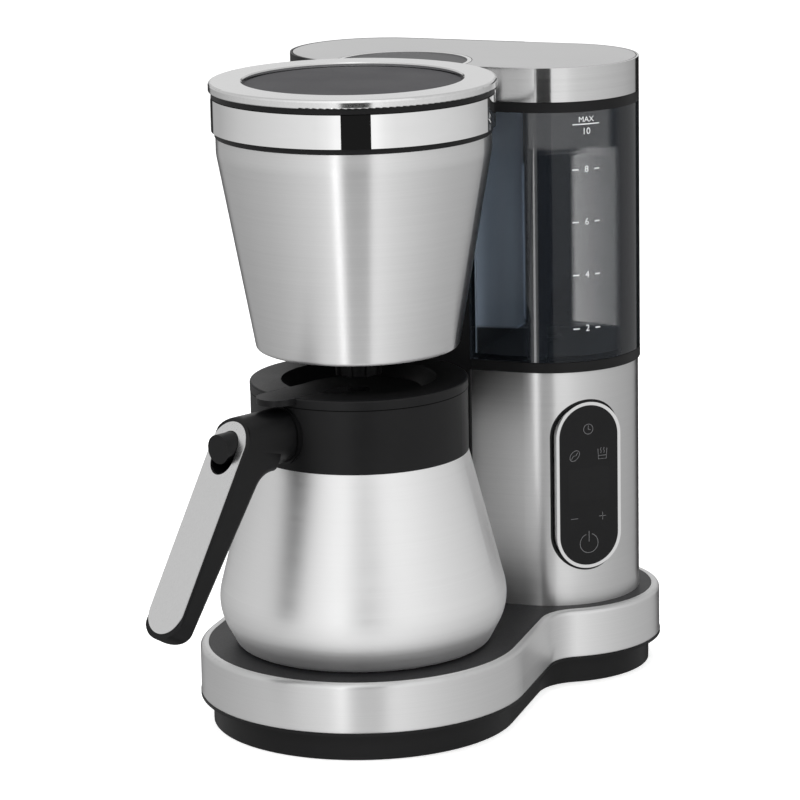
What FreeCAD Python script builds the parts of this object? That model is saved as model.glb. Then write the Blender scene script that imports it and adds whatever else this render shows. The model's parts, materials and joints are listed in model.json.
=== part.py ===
import FreeCAD, Part
import math
import os
import Sketcher
from types import SimpleNamespace

# Drip coffee maker with a thermal carafe, a swing-out filter and a lift-off water tank.
# Millimetres, +Z up, the front faces -Y, the origin is under the middle of the whole machine.

Vector = FreeCAD.Vector

DIMENSIONS = (
    # axes in plan
    ("brew_x", -14.1, "axis of filter and carafe, from the tower's middle"),
    ("brew_y", -27.815, "axis of filter and carafe, from the machine's middle"),
    ("filter_room", 7.9, "between the filter's band and the tower's face"),
    ("tower_setback", "=tower_radius + band_radius + filter_room", "brew axis to the tower's long axis"),
    ("tower_span", 103.5, "between the centres of the tower's round ends"),
    ("tower_radius", 51.4, "round ends of tank, column and top"),
    ("split_x", 20.2, "side of the black column that faces the tank"),
    # clearances
    ("seam", 0.2, "between two fixed shells"),
    ("fit_gap", 0.3, "between pieces that move apart"),
    ("run_gap", 0.05, "radial play of a pin in its bore"),
    # base
    ("foot_height", 2.0, ""),
    ("skirt_gap", 0.5, "skirt above the table"),
    ("foot_radius", 9.0, ""),
    ("foot_spread", 62.0, "front feet, from the brew axis"),
    ("ring_radius", 91.9, "steel base ring round the carafe"),
    ("rear_radius", 62.0, "steel base ring round the tower"),
    ("waist_radius", 20.0, "hollow corner between carafe and tower"),
    ("waist_lean", 3.9, "degrees that the right side closes in towards the tower"),
    ("ring_bottom", 17.7, ""),
    ("ring_top", 45.0, ""),
    ("ring_wall", 1.2, ""),
    ("ring_lip", 4.6, "width of the ring's turned-in top"),
    ("ring_lip_thick", 3.2, ""),
    ("ring_round", 2.6, ""),
    ("pan_inset", 6.5, "black skirt behind the ring"),
    ("pan_wall", 2.5, ""),
    ("pan_floor", 2.5, ""),
    ("pan_flange", 1.8, ""),
    ("pan_flange_proud", 0.4, ""),
    ("plate_thick", 4.0, ""),
    ("hatch_depth", 44.0, "openings for hoses and wires"),
    ("hatch_width", 34.0, ""),
    ("screw_radius", 1.6, ""),
    ("screw_head_radius", 3.2, ""),
    ("screw_head", 1.6, ""),
    ("screw_length", 12.0, ""),
    ("boss_radius", 4.5, ""),
    ("boss_spread", 76.0, "screw bosses, from the brew axis"),
    # tower
    ("column_wall", 2.5, ""),
    ("column_top", "=band_bottom - fit_gap", ""),
    ("shell_inset", 1.2, "steel behind the face of tank and column"),
    ("shell_wall", 1.0, ""),
    ("liner_wall", 2.0, ""),
    ("shell_height", 137.2, "steel housing under the tank"),
    ("shell_top", "=ring_top + shell_height", ""),
    ("seat_deck", 2.5, ""),
    ("seat_rise", 5.8, ""),
    ("seat_top", "=shell_top + seat_rise", ""),
    ("seat_wall", 2.8, ""),
    ("cover_width", 58.0, ""),
    ("cover_rise", 29.0, ""),
    ("cover_bottom", "=ring_top + cover_rise", ""),
    ("cover_drop", 18.7, ""),
    ("cover_top", "=column_top - cover_drop", ""),
    ("cover_thick", 2.0, ""),
    ("gland_rise", 13.0, ""),
    ("gland_height", "=ring_top + gland_rise", "middle of the mains inlet"),
    ("gland_radius", 9.0, ""),
    ("gland_neck", 6.5, ""),
    ("gland_bore", 3.6, ""),
    # control panel
    ("panel_angle", 42.5, "degrees to the right of the front"),
    ("panel_rise", 70.5, ""),
    ("panel_middle", "=ring_top + panel_rise", "height of the panel's middle"),
    ("panel_proud", 1.2, "front of the bezel beyond the steel shell"),
    ("panel_reach", "=tower_radius - shell_inset + panel_proud", "from the tower's right centre"),
    ("panel_half_width", 20.0, ""),
    ("panel_height", 97.6, ""),
    ("bezel_width", 1.85, ""),
    ("bezel_depth", 8.5, ""),
    ("panel_gap", 1.4, "shadow gap in the steel round the bezel"),
    ("glass_thick", 1.6, ""),
    ("glass_sink", 0.2, ""),
    ("housing_depth", 13.0, ""),
    ("housing_wall", 1.6, ""),
    ("board_thick", 1.6, ""),
    ("board_height", 70.0, ""),
    ("board_half_width", 13.0, ""),
    ("display_half_width", 13.0, ""),
    ("display_height", 20.0, ""),
    ("display_thick", 4.0, ""),
    ("power_board_width", 56.0, ""),
    ("power_board_rise", 17.0, ""),
    ("power_board_bottom", "=ring_top + power_board_rise", ""),
    ("power_board_height", 90.0, ""),
    ("capacitor_radius", 8.0, ""),
    ("capacitor_height", 16.0, ""),
    # water path
    ("heater_radius", 42.0, "bend of the heater tube"),
    ("heater_tube", 8.0, ""),
    ("heater_height", 20.0, ""),
    ("heater_leg", 62.0, ""),
    ("clamp_length", 10.0, ""),
    ("clamp_half_width", 12.0, ""),
    ("thermostat_radius", 8.0, ""),
    ("thermostat_height", 7.0, ""),
    ("hose_radius", 4.5, ""),
    ("hose_wall", 1.9, ""),
    ("hose_grip", 8.0, "length of a spigot inside its hose"),
    ("hose_bend", 14.0, ""),
    ("valve_radius", 6.5, ""),
    ("valve_length", 18.0, ""),
    ("riser_y", 16.0, "riser in front of the tower's axis"),
    ("riser_drop", 18.7, "spout's middle below the column's top"),
    ("riser_top", "=column_top - riser_drop", ""),
    ("spout_wall", 0.8, ""),
    # water tank
    ("tank_wall", 2.5, ""),
    ("tank_floor", 3.0, ""),
    ("tank_collar_height", 5.7, ""),
    ("tank_top", "=column_top - tank_collar_height", ""),
    ("tank_plug", 3.0, "foot of the tank inside the seat"),
    ("collar_width", 4.0, ""),
    ("grip_left", 24.0, "grip recess in the tank's back"),
    ("grip_right", 78.0, ""),
    ("grip_rise", 3.0, "grip recess above the seat"),
    ("grip_bottom", "=seat_top + grip_rise", ""),
    ("grip_drop", 42.7, "grip recess below the tank's top, at its left"),
    ("grip_top", "=tank_top - grip_drop", ""),
    ("grip_slant", 6.0, "rise of the recess's top from left to right"),
    ("grip_depth", 13.0, ""),
    ("grip_round", 10.0, ""),
    ("socket_x", 48.0, ""),
    ("socket_radius", 14.0, ""),
    ("socket_bore", 10.5, ""),
    ("socket_depth", 16.0, ""),
    ("nipple_length", 10.0, ""),
    ("tank_valve_radius", 10.0, ""),
    ("tank_valve_bore", 6.0, ""),
    ("tank_valve_drop", 8.0, ""),
    ("plunger_radius", 8.0, ""),
    ("plunger_stem", 3.0, ""),
    ("plunger_disc", 2.5, ""),
    # tank lid
    ("lid_top", 356.1, "height of the machine over the tank"),
    ("lid_height", 19.1, ""),
    ("band_bottom", "=lid_top - lid_height", ""),
    ("band_wall", 1.2, ""),
    ("frame_wall", 2.0, ""),
    ("top_plate_thick", 1.5, ""),
    ("plate_seam", 0.5, "groove between the plate and the band"),
    ("inlay_x", -8.0, "inlay's centre, from the brew axis"),
    ("inlay_y", 98.0, ""),
    ("inlay_radius", 39.0, ""),
    ("inlay_rim_width", 2.4, ""),
    ("inlay_sink", 0.8, ""),
    ("hinge_reach", 4.2, "tank hinge behind the tower"),
    ("hinge_rise", 3.4, "tank hinge above the band's lower edge"),
    ("knuckle_radius", 3.0, ""),
    ("pin_radius", 1.5, ""),
    ("tank_lug_width", 6.0, ""),
    ("tank_knuckle", 16.0, ""),
    # filter lid
    ("filter_lid_proud", 1.1, "filter lid beyond the band"),
    ("filter_lid_radius", "=band_radius + filter_lid_proud", ""),
    ("filter_lid_rise", 4.5, "filter lid above the tank's lid"),
    ("filter_lid_thick", 5.0, ""),
    ("filter_lid_top", "=lid_top + filter_lid_rise", ""),
    ("filter_lid_bottom", "=filter_lid_top - filter_lid_thick", ""),
    ("filter_lid_round", 1.6, ""),
    ("filter_lid_width", 18.3, "steel ring round the inset"),
    ("inset_radius", "=filter_lid_radius - filter_lid_width", ""),
    ("inset_sink", 2.2, ""),
    ("inset_thick", 1.6, ""),
    ("inset_slope", 0.7, ""),
    ("inset_groove", 1.4, "dark groove round the inset"),
    ("inset_groove_depth", 0.8, ""),
    ("spray_inset", 0.4, ""),
    ("spray_radius", "=band_radius - spray_inset", ""),
    ("spray_hole_radius", 1.6, ""),
    ("spray_hole_circle", 30.0, ""),
    ("lid_hinge_reach", 3.5, "lid hinge axis behind the lid's edge"),
    ("lid_hinge_y", "=filter_lid_radius + lid_hinge_reach", "lid hinge axis, behind the brew axis"),
    ("lid_hinge_drop", 3.3, "lid hinge axis below the lid's top"),
    ("lid_hinge_z", "=filter_lid_top - lid_hinge_drop", ""),
    ("lid_knuckle_radius", 2.2, ""),
    ("lid_pin_radius", 1.1, ""),
    ("lid_knuckle_half", 15.0, ""),
    ("lid_lug_width", 6.0, ""),
    ("lug_height", 18.7, "hinge bracket on the column's face"),
    ("lug_foot", "=column_top - lug_height", ""),
    ("lug_web", 0.5, "strap that joins the two lugs behind the spout"),
    # swing filter
    ("band_proud", 2.3, "band beyond the cone"),
    ("band_radius", "=cone_top_radius + band_proud", ""),
    ("lid_groove", 3.3, "dark groove under the lid"),
    ("band_height", 18.1, ""),
    ("band_groove", 3.2, "dark groove under the band"),
    ("band_top", "=filter_lid_bottom - lid_groove", ""),
    ("band_low", "=band_top - band_height", ""),
    ("filter_wall", 1.2, ""),
    ("cone_top_radius", 75.3, ""),
    ("cone_top", "=band_low - band_groove", ""),
    ("cone_rim", 9.5, "upright part of the cone's side"),
    ("cone_knee", "=cone_top - cone_rim", "height where the steel starts to taper"),
    ("cone_knee_round", 24.0, ""),
    ("cone_foot_radius", 56.0, ""),
    ("pour_room", 18.0, "between the carafe's lid and the filter"),
    ("cone_foot", "=jug_lid_top + pour_room", ""),
    ("cone_round", 2.4, ""),
    ("basket_wall", 2.2, ""),
    ("basket_floor", 3.0, ""),
    ("basket_outlet", 9.0, ""),
    ("flange_proud", 0.5, ""),
    ("flange_radius", "=cone_top_radius + flange_proud", ""),
    ("swing_x", -62.0, "swing pin, from the brew axis"),
    ("swing_reach", 2.4, "swing pin behind the band"),
    ("swing_y", "=band_radius + swing_reach", ""),
    ("swing_pin_radius", 3.0, ""),
    ("swing_boss", 8.0, ""),
    ("swing_drop", 35.0, "swing bracket's foot below the cone's top"),
    ("swing_low", "=cone_top - swing_drop", ""),
    ("swing_ear", 6.0, ""),
    ("swing_lug_height", 18.0, ""),
    ("nose_radius", 13.4, ""),
    ("nose_clear", 2.4, "drip stop above the carafe's lid"),
    ("nose_bottom", "=jug_lid_top + nose_clear", ""),
    ("nose_top", "=cone_foot - nose_clear", ""),
    ("nose_rib_width", 2.2, ""),
    ("nose_rib_depth", 1.6, ""),
    ("stem_radius", 7.0, ""),
    ("stopper_radius", 12.0, ""),
    ("stopper_thick", 2.4, ""),
    ("spring_radius", 5.0, ""),
    ("spring_wire", 1.0, ""),
    ("spring_reach", 23.6, "spring's upper end above the filter's foot"),
    ("spring_top", "=cone_foot + spring_reach", ""),
    ("bridge_width", 12.0, ""),
    ("bridge_thick", 3.0, ""),
    # carafe
    ("carafe_lift", 0.05, "carafe foot above the base plate"),
    ("carafe_foot_radius", 70.5, ""),
    ("carafe_belly", 82.1, "corner of the carafe's belly before it is rounded"),
    ("carafe_belly_rise", 21.9, ""),
    ("carafe_belly_height", "=ring_top + carafe_belly_rise", ""),
    ("carafe_belly_round", 31.0, ""),
    ("carafe_foot_round", 4.0, ""),
    ("carafe_neck_radius", 60.0, ""),
    ("carafe_height", 108.5, "steel part of the carafe"),
    ("carafe_neck", "=ring_top + carafe_height", ""),
    ("carafe_wall", 1.0, ""),
    ("liner_space", 6.0, "vacuum gap between the carafe's walls"),
    ("mouth_inset", 10.0, ""),
    ("mouth_radius", "=carafe_neck_radius - mouth_inset", ""),
    ("collar_proud", 0.2, ""),
    ("collar_radius", "=carafe_neck_radius + collar_proud", ""),
    ("collar_height", 35.7, ""),
    ("collar_top", "=carafe_neck + collar_height", ""),
    ("mouth_sink", 11.2, "steel mouth below the collar's top"),
    ("mouth_top", "=collar_top - mouth_sink", ""),
    ("jug_lid_proud", 0.4, ""),
    ("jug_lid_radius", "=carafe_neck_radius + jug_lid_proud", ""),
    ("jug_lid_rise", 5.2, ""),
    ("jug_lid_top", "=collar_top + jug_lid_rise", ""),
    ("jug_lid_plug", 14.0, ""),
    ("funnel_margin", 8.0, ""),
    ("funnel_radius", "=mouth_radius - funnel_margin", ""),
    ("funnel_depth", 7.0, ""),
    ("funnel_hole", 6.0, ""),
    # carafe handle
    ("handle_turn", 24.0, "degrees to the left of the front"),
    ("handle_width", 28.0, ""),
    ("handle_tilt", 30.0, "degrees that the grip leans out"),
    ("arm_reach", 31.4, "grip's outer face from the collar, at its top"),
    ("grip_x", "=collar_radius + arm_reach", "top of the grip's outer face, from the brew axis"),
    ("arm_drop", 1.4, "arm below the collar's top"),
    ("arm_height", 30.3, ""),
    ("arm_top", "=collar_top - arm_drop", ""),
    ("arm_bottom", "=arm_top - arm_height", ""),
    ("arm_round", 13.6, ""),
    ("arm_flange", 1.2, "lip round the arm's root"),
    ("grip_length", 126.6, "grip along its outer face"),
    ("grip_top_depth", 22.7, ""),
    ("grip_foot_depth", 11.6, ""),
    ("grip_bend", 14.0, "hollow corner under the arm"),
    ("handle_edge", 3.0, ""),
    ("plate_width", 25.4, ""),
    ("plate_length", 121.0, ""),
    ("plate_inlay", 1.2, ""),
    ("plate_proud", 0.2, ""),
    ("plate_margin", 2.4, "plate below the grip's top"),
    ("knob_radius", 8.0, ""),
    ("knob_drop", 14.8, "knob's middle below the arm's top"),
    ("knob_height", "=arm_top - knob_drop", ""),
    ("knob_reach", 14.8, "knob's front from the grip's top"),
    ("knob_front", "=grip_x + knob_reach", ""),
    ("knob_length", 17.0, ""),
    ("knob_travel", 6.0, ""),
    ("knob_play", 0.3, ""),
    ("handle_screw_reach", 24.0, ""),
    ("lever_width", 22.0, ""),
    ("lever_thick", 3.4, ""),
    ("lever_inner", 20.0, ""),
    ("lever_reach", 13.6, "lever beyond the collar"),
    ("lever_outer", "=collar_radius + lever_reach", ""),
    ("lever_back", 18.2, "lever's pin inside the collar"),
    ("lever_pivot", "=collar_radius - lever_back", ""),
    ("lever_well", 8.0, "room below the lever's inner end"),
    ("lever_pin_radius", 1.2, ""),
)


class Size:
    """A length that keeps the cell formula it comes from beside its value."""

    def __init__(self, value, text):
        self.value = value
        self.text = text

    def join(self, sign, other, value):
        return Size(value, "(%s %s %s)" % (self.text, sign, other.text))

    def __add__(self, other):
        other = as_size(other)
        return self.join("+", other, self.value + other.value)

    def __sub__(self, other):
        other = as_size(other)
        return self.join("-", other, self.value - other.value)

    def __mul__(self, other):
        other = as_size(other)
        return self.join("*", other, self.value * other.value)

    def __truediv__(self, other):
        other = as_size(other)
        return self.join("/", other, self.value / other.value)

    def __neg__(self):
        return as_size(0) - self

    def __radd__(self, other):
        return as_size(other) + self

    def __rsub__(self, other):
        return as_size(other) - self

    def __rmul__(self, other):
        return as_size(other) * self


def as_size(number):
    return number if isinstance(number, Size) else Size(float(number), repr(float(number)))


def cosine(angle):
    return Size(math.cos(math.radians(angle.value)), "cos(%s * 1 deg)" % angle.text)


def sine(angle):
    return Size(math.sin(math.radians(angle.value)), "sin(%s * 1 deg)" % angle.text)


def root(number):
    return Size(math.sqrt(number.value), "sqrt(%s)" % number.text)


doc = FreeCAD.newDocument("drip_coffee_maker")
sheet = doc.addObject("Spreadsheet::Sheet", "dims")
d = SimpleNamespace()
for row, (alias, value, note) in enumerate(DIMENSIONS, start=1):
    sheet.setAlias("A%d" % row, alias)
    sheet.set("B%d" % row, note)
for row, (alias, value, note) in enumerate(DIMENSIONS, start=1):
    sheet.set("A%d" % row, str(value))
doc.recompute()
for alias, value, note in DIMENSIONS:
    setattr(d, alias, Size(float(sheet.get(alias)), "dims." + alias))

nodes = {}


def node(label, shape_object):
    """Name a finished sub-part: the label is the name of its file."""
    shape_object.Label = label
    nodes[label] = shape_object
    return shape_object


def bind(target, prop, size):
    target.setExpression(prop, as_size(size).text)


def place(target, x=0.0, y=0.0, z=0.0, yaw=0.0, pitch=0.0, roll=0.0):
    numbers = tuple(as_size(n).text for n in (x, y, z, yaw, pitch, roll))
    target.setExpression("Placement", "placement(vector(%s; %s; %s); rotation(%s; %s; %s))" % numbers)
    return target


# Solids from primitives

def cylinder(name, x, y, z, radius, height, yaw=0.0, pitch=0.0, roll=0.0):
    solid = doc.addObject("Part::Cylinder", name)
    bind(solid, "Radius", radius)
    bind(solid, "Height", height)
    return place(solid, x, y, z, yaw, pitch, roll)


def cone(name, x, y, z, low_radius, high_radius, height):
    solid = doc.addObject("Part::Cone", name)
    bind(solid, "Radius1", low_radius)
    bind(solid, "Radius2", high_radius)
    bind(solid, "Height", height)
    return place(solid, x, y, z)


def box(name, low, high):
    """A box between two corners."""
    solid = doc.addObject("Part::Box", name)
    for prop, a, b in zip(("Length", "Width", "Height"), low, high):
        bind(solid, prop, as_size(b) - a)
    return place(solid, *low)


def along_x(name, x, y, z, radius, length):
    return cylinder(name, x, y, z, radius, length, pitch=90)


def along_y(name, x, y, z, radius, length):
    """A cylinder that runs back from its front end."""
    return cylinder(name, x, y, z, radius, length, roll=-90)


def cut(name, base, *tools):
    result = base
    for number, tool in enumerate(tools):
        step = doc.addObject("Part::Cut", "%s_cut%d" % (name, number))
        step.Base = result
        step.Tool = tool
        result = step
    return result


def fuse(name, *solids):
    result = doc.addObject("Part::MultiFuse", name)
    result.Shapes = list(solids)
    result.Refine = True
    return result


def common(name, base, tool):
    result = doc.addObject("Part::Common", name)
    result.Base = base
    result.Tool = tool
    return result


def group(name, solids):
    result = doc.addObject("Part::Compound", name)
    result.Links = list(solids)
    return result


def round_end(name, x_flat, x_round, radius, low, high):
    """A block with one flat side and one half-round end, on the tower's axis."""
    faces_right = x_flat.value < x_round.value
    left, right = (x_flat, x_round) if faces_right else (x_round, x_flat)
    block = box(name + "_block", (left, tower_y - radius, low), (right, tower_y + radius, high))
    yaw = -90 if faces_right else 90
    end = cylinder(name + "_end", x_round, tower_y, low, radius, as_size(high) - low, yaw)
    end.Angle = 180
    return fuse(name, block, end)


def stadium(name, radius, low, high):
    """The tower's whole plan: a block with both ends half-round."""
    block = box(name + "_block", (tower_left, tower_y - radius, low), (tower_right, tower_y + radius, high))
    left = cylinder(name + "_left", tower_left, tower_y, low, radius, as_size(high) - low)
    right = cylinder(name + "_right", tower_right, tower_y, low, radius, as_size(high) - low)
    return fuse(name, block, left, right)


# Solids from sketches

def new_body(name):
    return doc.addObject("PartDesign::Body", name)


def new_sketch(body, name, plane, offset=0.0):
    sketch = body.newObject("Sketcher::SketchObject", name)
    support = next(f for f in body.Origin.OriginFeatures if f.Role == plane)
    sketch.AttachmentSupport = [(support, "")]
    sketch.MapMode = "FlatFace"
    bind(sketch, "AttachmentOffset.Base.z", offset)
    return sketch


def hold(sketch, kind, geometry, point, size):
    """Fix one coordinate of a sketch point, from the sketch's origin."""
    size = as_size(size)
    index = sketch.addConstraint(Sketcher.Constraint(kind, -1, 1, geometry, point, size.value))
    sketch.setExpression("Constraints[%d]" % index, size.text)


def hold_radius(sketch, geometry, size):
    index = sketch.addConstraint(Sketcher.Constraint("Radius", geometry, size.value))
    sketch.setExpression("Constraints[%d]" % index, size.text)


def corner_tangents(before, corner, after, radius):
    """Where a round corner starts and ends, and its centre."""
    back = (before - corner).normalize()
    ahead = (after - corner).normalize()
    half = back.getAngle(ahead) / 2
    reach = radius / math.tan(half)
    middle = (back + ahead).normalize()
    return corner + back * reach, corner + ahead * reach, corner + middle * (radius / math.sin(half))


def arc_between(centre, start, end):
    """The short arc from start to end, and whether it runs against the clock."""
    first, last = start - centre, end - centre
    left_turn = first.cross(last).z > 0
    a, b = (first, last) if left_turn else (last, first)
    circle = Part.Circle(centre, Vector(0, 0, 1), first.Length)
    return Part.ArcOfCircle(circle, math.atan2(a.y, a.x), math.atan2(b.y, b.x)), left_turn


def loop(sketch, corners):
    """A closed outline through corners (x, y) or (x, y, radius of the round corner)."""
    sizes = [tuple(as_size(n) for n in corner) for corner in corners]
    points = [Vector(c[0].value, c[1].value, 0) for c in sizes]
    count = len(points)
    starts, ends, arcs = list(points), list(points), {}
    for i, corner in enumerate(sizes):
        if len(corner) == 3:
            ends[i], starts[i], centre = corner_tangents(
                points[i - 1], points[i], points[(i + 1) % count], corner[2].value)
            arcs[i] = arc_between(centre, ends[i], starts[i])
    lines = [sketch.addGeometry(Part.LineSegment(starts[i], ends[(i + 1) % count])) for i in range(count)]
    for i, corner in enumerate(sizes):
        line_in, line_out = lines[i - 1], lines[i]
        if i not in arcs:
            sketch.addConstraint(Sketcher.Constraint("Coincident", line_in, 2, line_out, 1))
            hold(sketch, "DistanceX", line_out, 1, corner[0])
            hold(sketch, "DistanceY", line_out, 1, corner[1])
            continue
        shape, left_turn = arcs[i]
        arc = sketch.addGeometry(shape)
        mark = sketch.addGeometry(Part.Point(points[i]), True)
        entry, leave = (1, 2) if left_turn else (2, 1)
        sketch.addConstraint(Sketcher.Constraint("Tangent", line_in, 2, arc, entry))
        sketch.addConstraint(Sketcher.Constraint("Tangent", arc, leave, line_out, 1))
        sketch.addConstraint(Sketcher.Constraint("PointOnObject", mark, 1, line_in))
        sketch.addConstraint(Sketcher.Constraint("PointOnObject", mark, 1, line_out))
        hold(sketch, "DistanceX", mark, 1, corner[0])
        hold(sketch, "DistanceY", mark, 1, corner[1])
        hold_radius(sketch, arc, corner[2])


def capsule(sketch, half_width, height):
    """An upright slot shape round the sketch's origin."""
    half_width, rise = as_size(half_width), as_size(height) / 2 - half_width
    w, r = half_width.value, rise.value
    up = sketch.addGeometry(Part.LineSegment(Vector(w, -r, 0), Vector(w, r, 0)))
    top = sketch.addGeometry(Part.ArcOfCircle(Part.Circle(Vector(0, r, 0), Vector(0, 0, 1), w), 0, math.pi))
    down = sketch.addGeometry(Part.LineSegment(Vector(-w, r, 0), Vector(-w, -r, 0)))
    low = sketch.addGeometry(
        Part.ArcOfCircle(Part.Circle(Vector(0, -r, 0), Vector(0, 0, 1), w), math.pi, 2 * math.pi))
    sides = (up, top, down, low)
    for i, side in enumerate(sides):
        sketch.addConstraint(Sketcher.Constraint("Tangent", side, 2, sides[(i + 1) % 4], 1))
    for arc, height_of_centre in ((top, rise), (low, -rise)):
        sketch.addConstraint(Sketcher.Constraint("PointOnObject", arc, 3, -2))
        hold(sketch, "DistanceY", arc, 3, height_of_centre)
    hold_radius(sketch, top, half_width)


def base_outline(sketch, inset):
    """The base's plan, moved in by inset: carafe lobe, right side, hollow corner, tower lobes, left side."""
    inset = as_size(inset)
    front_r, rear_r, waist_r = d.ring_radius - inset, d.rear_radius - inset, d.waist_radius + inset
    front = Vector(d.brew_x.value, d.brew_y.value, 0)
    right = Vector(tower_right.value, tower_y.value, 0)
    left = Vector(tower_left.value, tower_y.value, 0)
    lean_in = math.radians(d.waist_lean.value)
    aside = Vector(math.cos(lean_in), math.sin(lean_in), 0)
    back = Vector(-aside.y, aside.x, 0)
    between = right - front
    across = front_r.value + waist_r.value - between.dot(aside)
    run = between.dot(back) - math.sqrt((rear_r.value + waist_r.value) ** 2 - across ** 2)
    front_end = front + aside * front_r.value
    waist_start = front_end + back * run
    waist = waist_start + aside * waist_r.value
    right_start = right + (waist - right).normalize() * rear_r.value
    to_left = left - front
    lean = math.atan2(to_left.y, to_left.x) + math.acos((front_r.value - rear_r.value) / to_left.Length)
    outward = Vector(math.cos(lean), math.sin(lean), 0)
    up = Vector(0, rear_r.value, 0)

    def turn(centre, radius, start, end):
        first, last = start - centre, end - centre
        circle = Part.Circle(centre, Vector(0, 0, 1), radius)
        arc = Part.ArcOfCircle(circle, math.atan2(first.y, first.x), math.atan2(last.y, last.x))
        return sketch.addGeometry(arc)

    side_front, side_rear = front + outward * front_r.value, left + outward * rear_r.value
    front_arc = turn(front, front_r.value, side_front, front_end)
    waist_line = sketch.addGeometry(Part.LineSegment(front_end, waist_start))
    waist_arc = turn(waist, waist_r.value, right_start, waist_start)
    right_arc = turn(right, rear_r.value, right_start, right + up)
    back_line = sketch.addGeometry(Part.LineSegment(right + up, left + up))
    left_arc = turn(left, rear_r.value, left + up, side_rear)
    side_line = sketch.addGeometry(Part.LineSegment(side_rear, side_front))
    meetings = ((front_arc, 2, waist_line, 1), (waist_line, 2, waist_arc, 2), (waist_arc, 1, right_arc, 1),
                (right_arc, 2, back_line, 1), (back_line, 2, left_arc, 1), (left_arc, 2, side_line, 1),
                (side_line, 2, front_arc, 1))
    for meeting in meetings:
        sketch.addConstraint(Sketcher.Constraint("Tangent", *meeting))
    for arc, x, y in ((front_arc, d.brew_x, d.brew_y), (right_arc, tower_right, tower_y),
                      (left_arc, tower_left, tower_y)):
        hold(sketch, "DistanceX", arc, 3, x)
        hold(sketch, "DistanceY", arc, 3, y)
    for arc, radius in ((front_arc, front_r), (waist_arc, waist_r), (right_arc, rear_r), (left_arc, rear_r)):
        hold_radius(sketch, arc, radius)
    angle = sketch.addConstraint(Sketcher.Constraint("Angle", waist_line, math.radians(90) + lean_in))
    sketch.setExpression("Constraints[%d]" % angle, "(90 + %s) * 1 deg" % d.waist_lean.text)


def pad(body, sketch, length):
    feature = body.newObject("PartDesign::Pad", sketch.Name + "_pad")
    feature.Profile = sketch
    bind(feature, "Length", length)
    return feature


def pocket(body, sketch, length):
    """Cut along the sketch's own direction, and check that something was cut."""
    doc.recompute()
    before = body.Shape.Volume
    feature = body.newObject("PartDesign::Pocket", sketch.Name + "_pocket")
    feature.Profile = sketch
    feature.Reversed = True
    bind(feature, "Length", length)
    doc.recompute()
    if body.Shape.Volume >= before:
        raise RuntimeError(feature.Name + " cuts nothing")
    return feature


def fillet(body, base, edges, radius):
    feature = body.newObject("PartDesign::Fillet", base.Name + "_round")
    feature.Base = (base, edges)
    bind(feature, "Radius", radius)
    return feature


def edges_at_height(shape, height):
    """Names of a shape's edges that lie flat at one height."""
    names = []
    for number, edge in enumerate(shape.Edges, start=1):
        box_of_edge = edge.BoundBox
        if abs(box_of_edge.ZMin - height) < 1e-4 and abs(box_of_edge.ZMax - height) < 1e-4:
            names.append("Edge%d" % number)
    return names


def turned(name, corners):
    """A body turned about the brew axis, from corners (radius, height)."""
    body = new_body(name + "_body")
    sketch = new_sketch(body, name + "_profile", "XZ_Plane")
    loop(sketch, corners)
    feature = body.newObject("PartDesign::Revolution", name + "_turn")
    feature.Profile = sketch
    feature.ReferenceAxis = (sketch, ["V_Axis"])
    feature.Angle = 360
    return place(body, d.brew_x, d.brew_y, 0)


def base_slab(name, inset, low, high):
    """A slab with the base's plan."""
    body = new_body(name + "_body")
    sketch = new_sketch(body, name + "_plan", "XY_Plane", low)
    base_outline(sketch, inset)
    return body, pad(body, sketch, as_size(high) - low)


def hollow_base(body, name, inset, low, high):
    sketch = new_sketch(body, name + "_hollow", "XY_Plane", low)
    base_outline(sketch, inset)
    pocket(body, sketch, as_size(high) - low)


def bent_path(corners, bend):
    """Straight runs joined by arcs of one radius."""
    points = [Vector(*corner) for corner in corners]
    edges = []
    start = points[0]
    for before, corner, after in zip(points, points[1:], points[2:]):
        first, last, centre = corner_tangents(before, corner, after, bend)
        middle = centre + (corner - centre).normalize() * bend
        edges.append(Part.LineSegment(start, first).toShape())
        edges.append(Part.Arc(first, middle, last).toShape())
        start = last
    edges.append(Part.LineSegment(start, points[-1]).toShape())
    return Part.Wire(edges)


def hose(name, corners, bend, radius, wall):
    """A tube along a bent path; its sizes are read from the sheet's values."""
    numbers = [tuple(as_size(n).value for n in corner) for corner in corners]
    path = bent_path(numbers, bend.value)
    start = Vector(*numbers[0])
    direction = (Vector(*numbers[1]) - start).normalize()

    def sweep(r):
        ring = Part.Wire(Part.makeCircle(r, start, direction))
        return path.makePipeShell([ring], True, False)

    tube = sweep(radius.value).cut(sweep(radius.value - wall.value))
    feature = doc.addObject("Part::Feature", name + "_tube")
    feature.Shape = tube
    return feature


tower_y = d.brew_y + d.tower_setback
tower_left = -(d.tower_span / 2)
tower_right = d.tower_span / 2
tower_front = tower_y - d.tower_radius
tower_back = tower_y + d.tower_radius
tank_left = d.split_x + d.seam
pan_top = d.ring_top - d.plate_thick
pan_floor_top = d.foot_height + d.pan_floor
shell_radius = d.tower_radius - d.shell_inset


# Base

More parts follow.
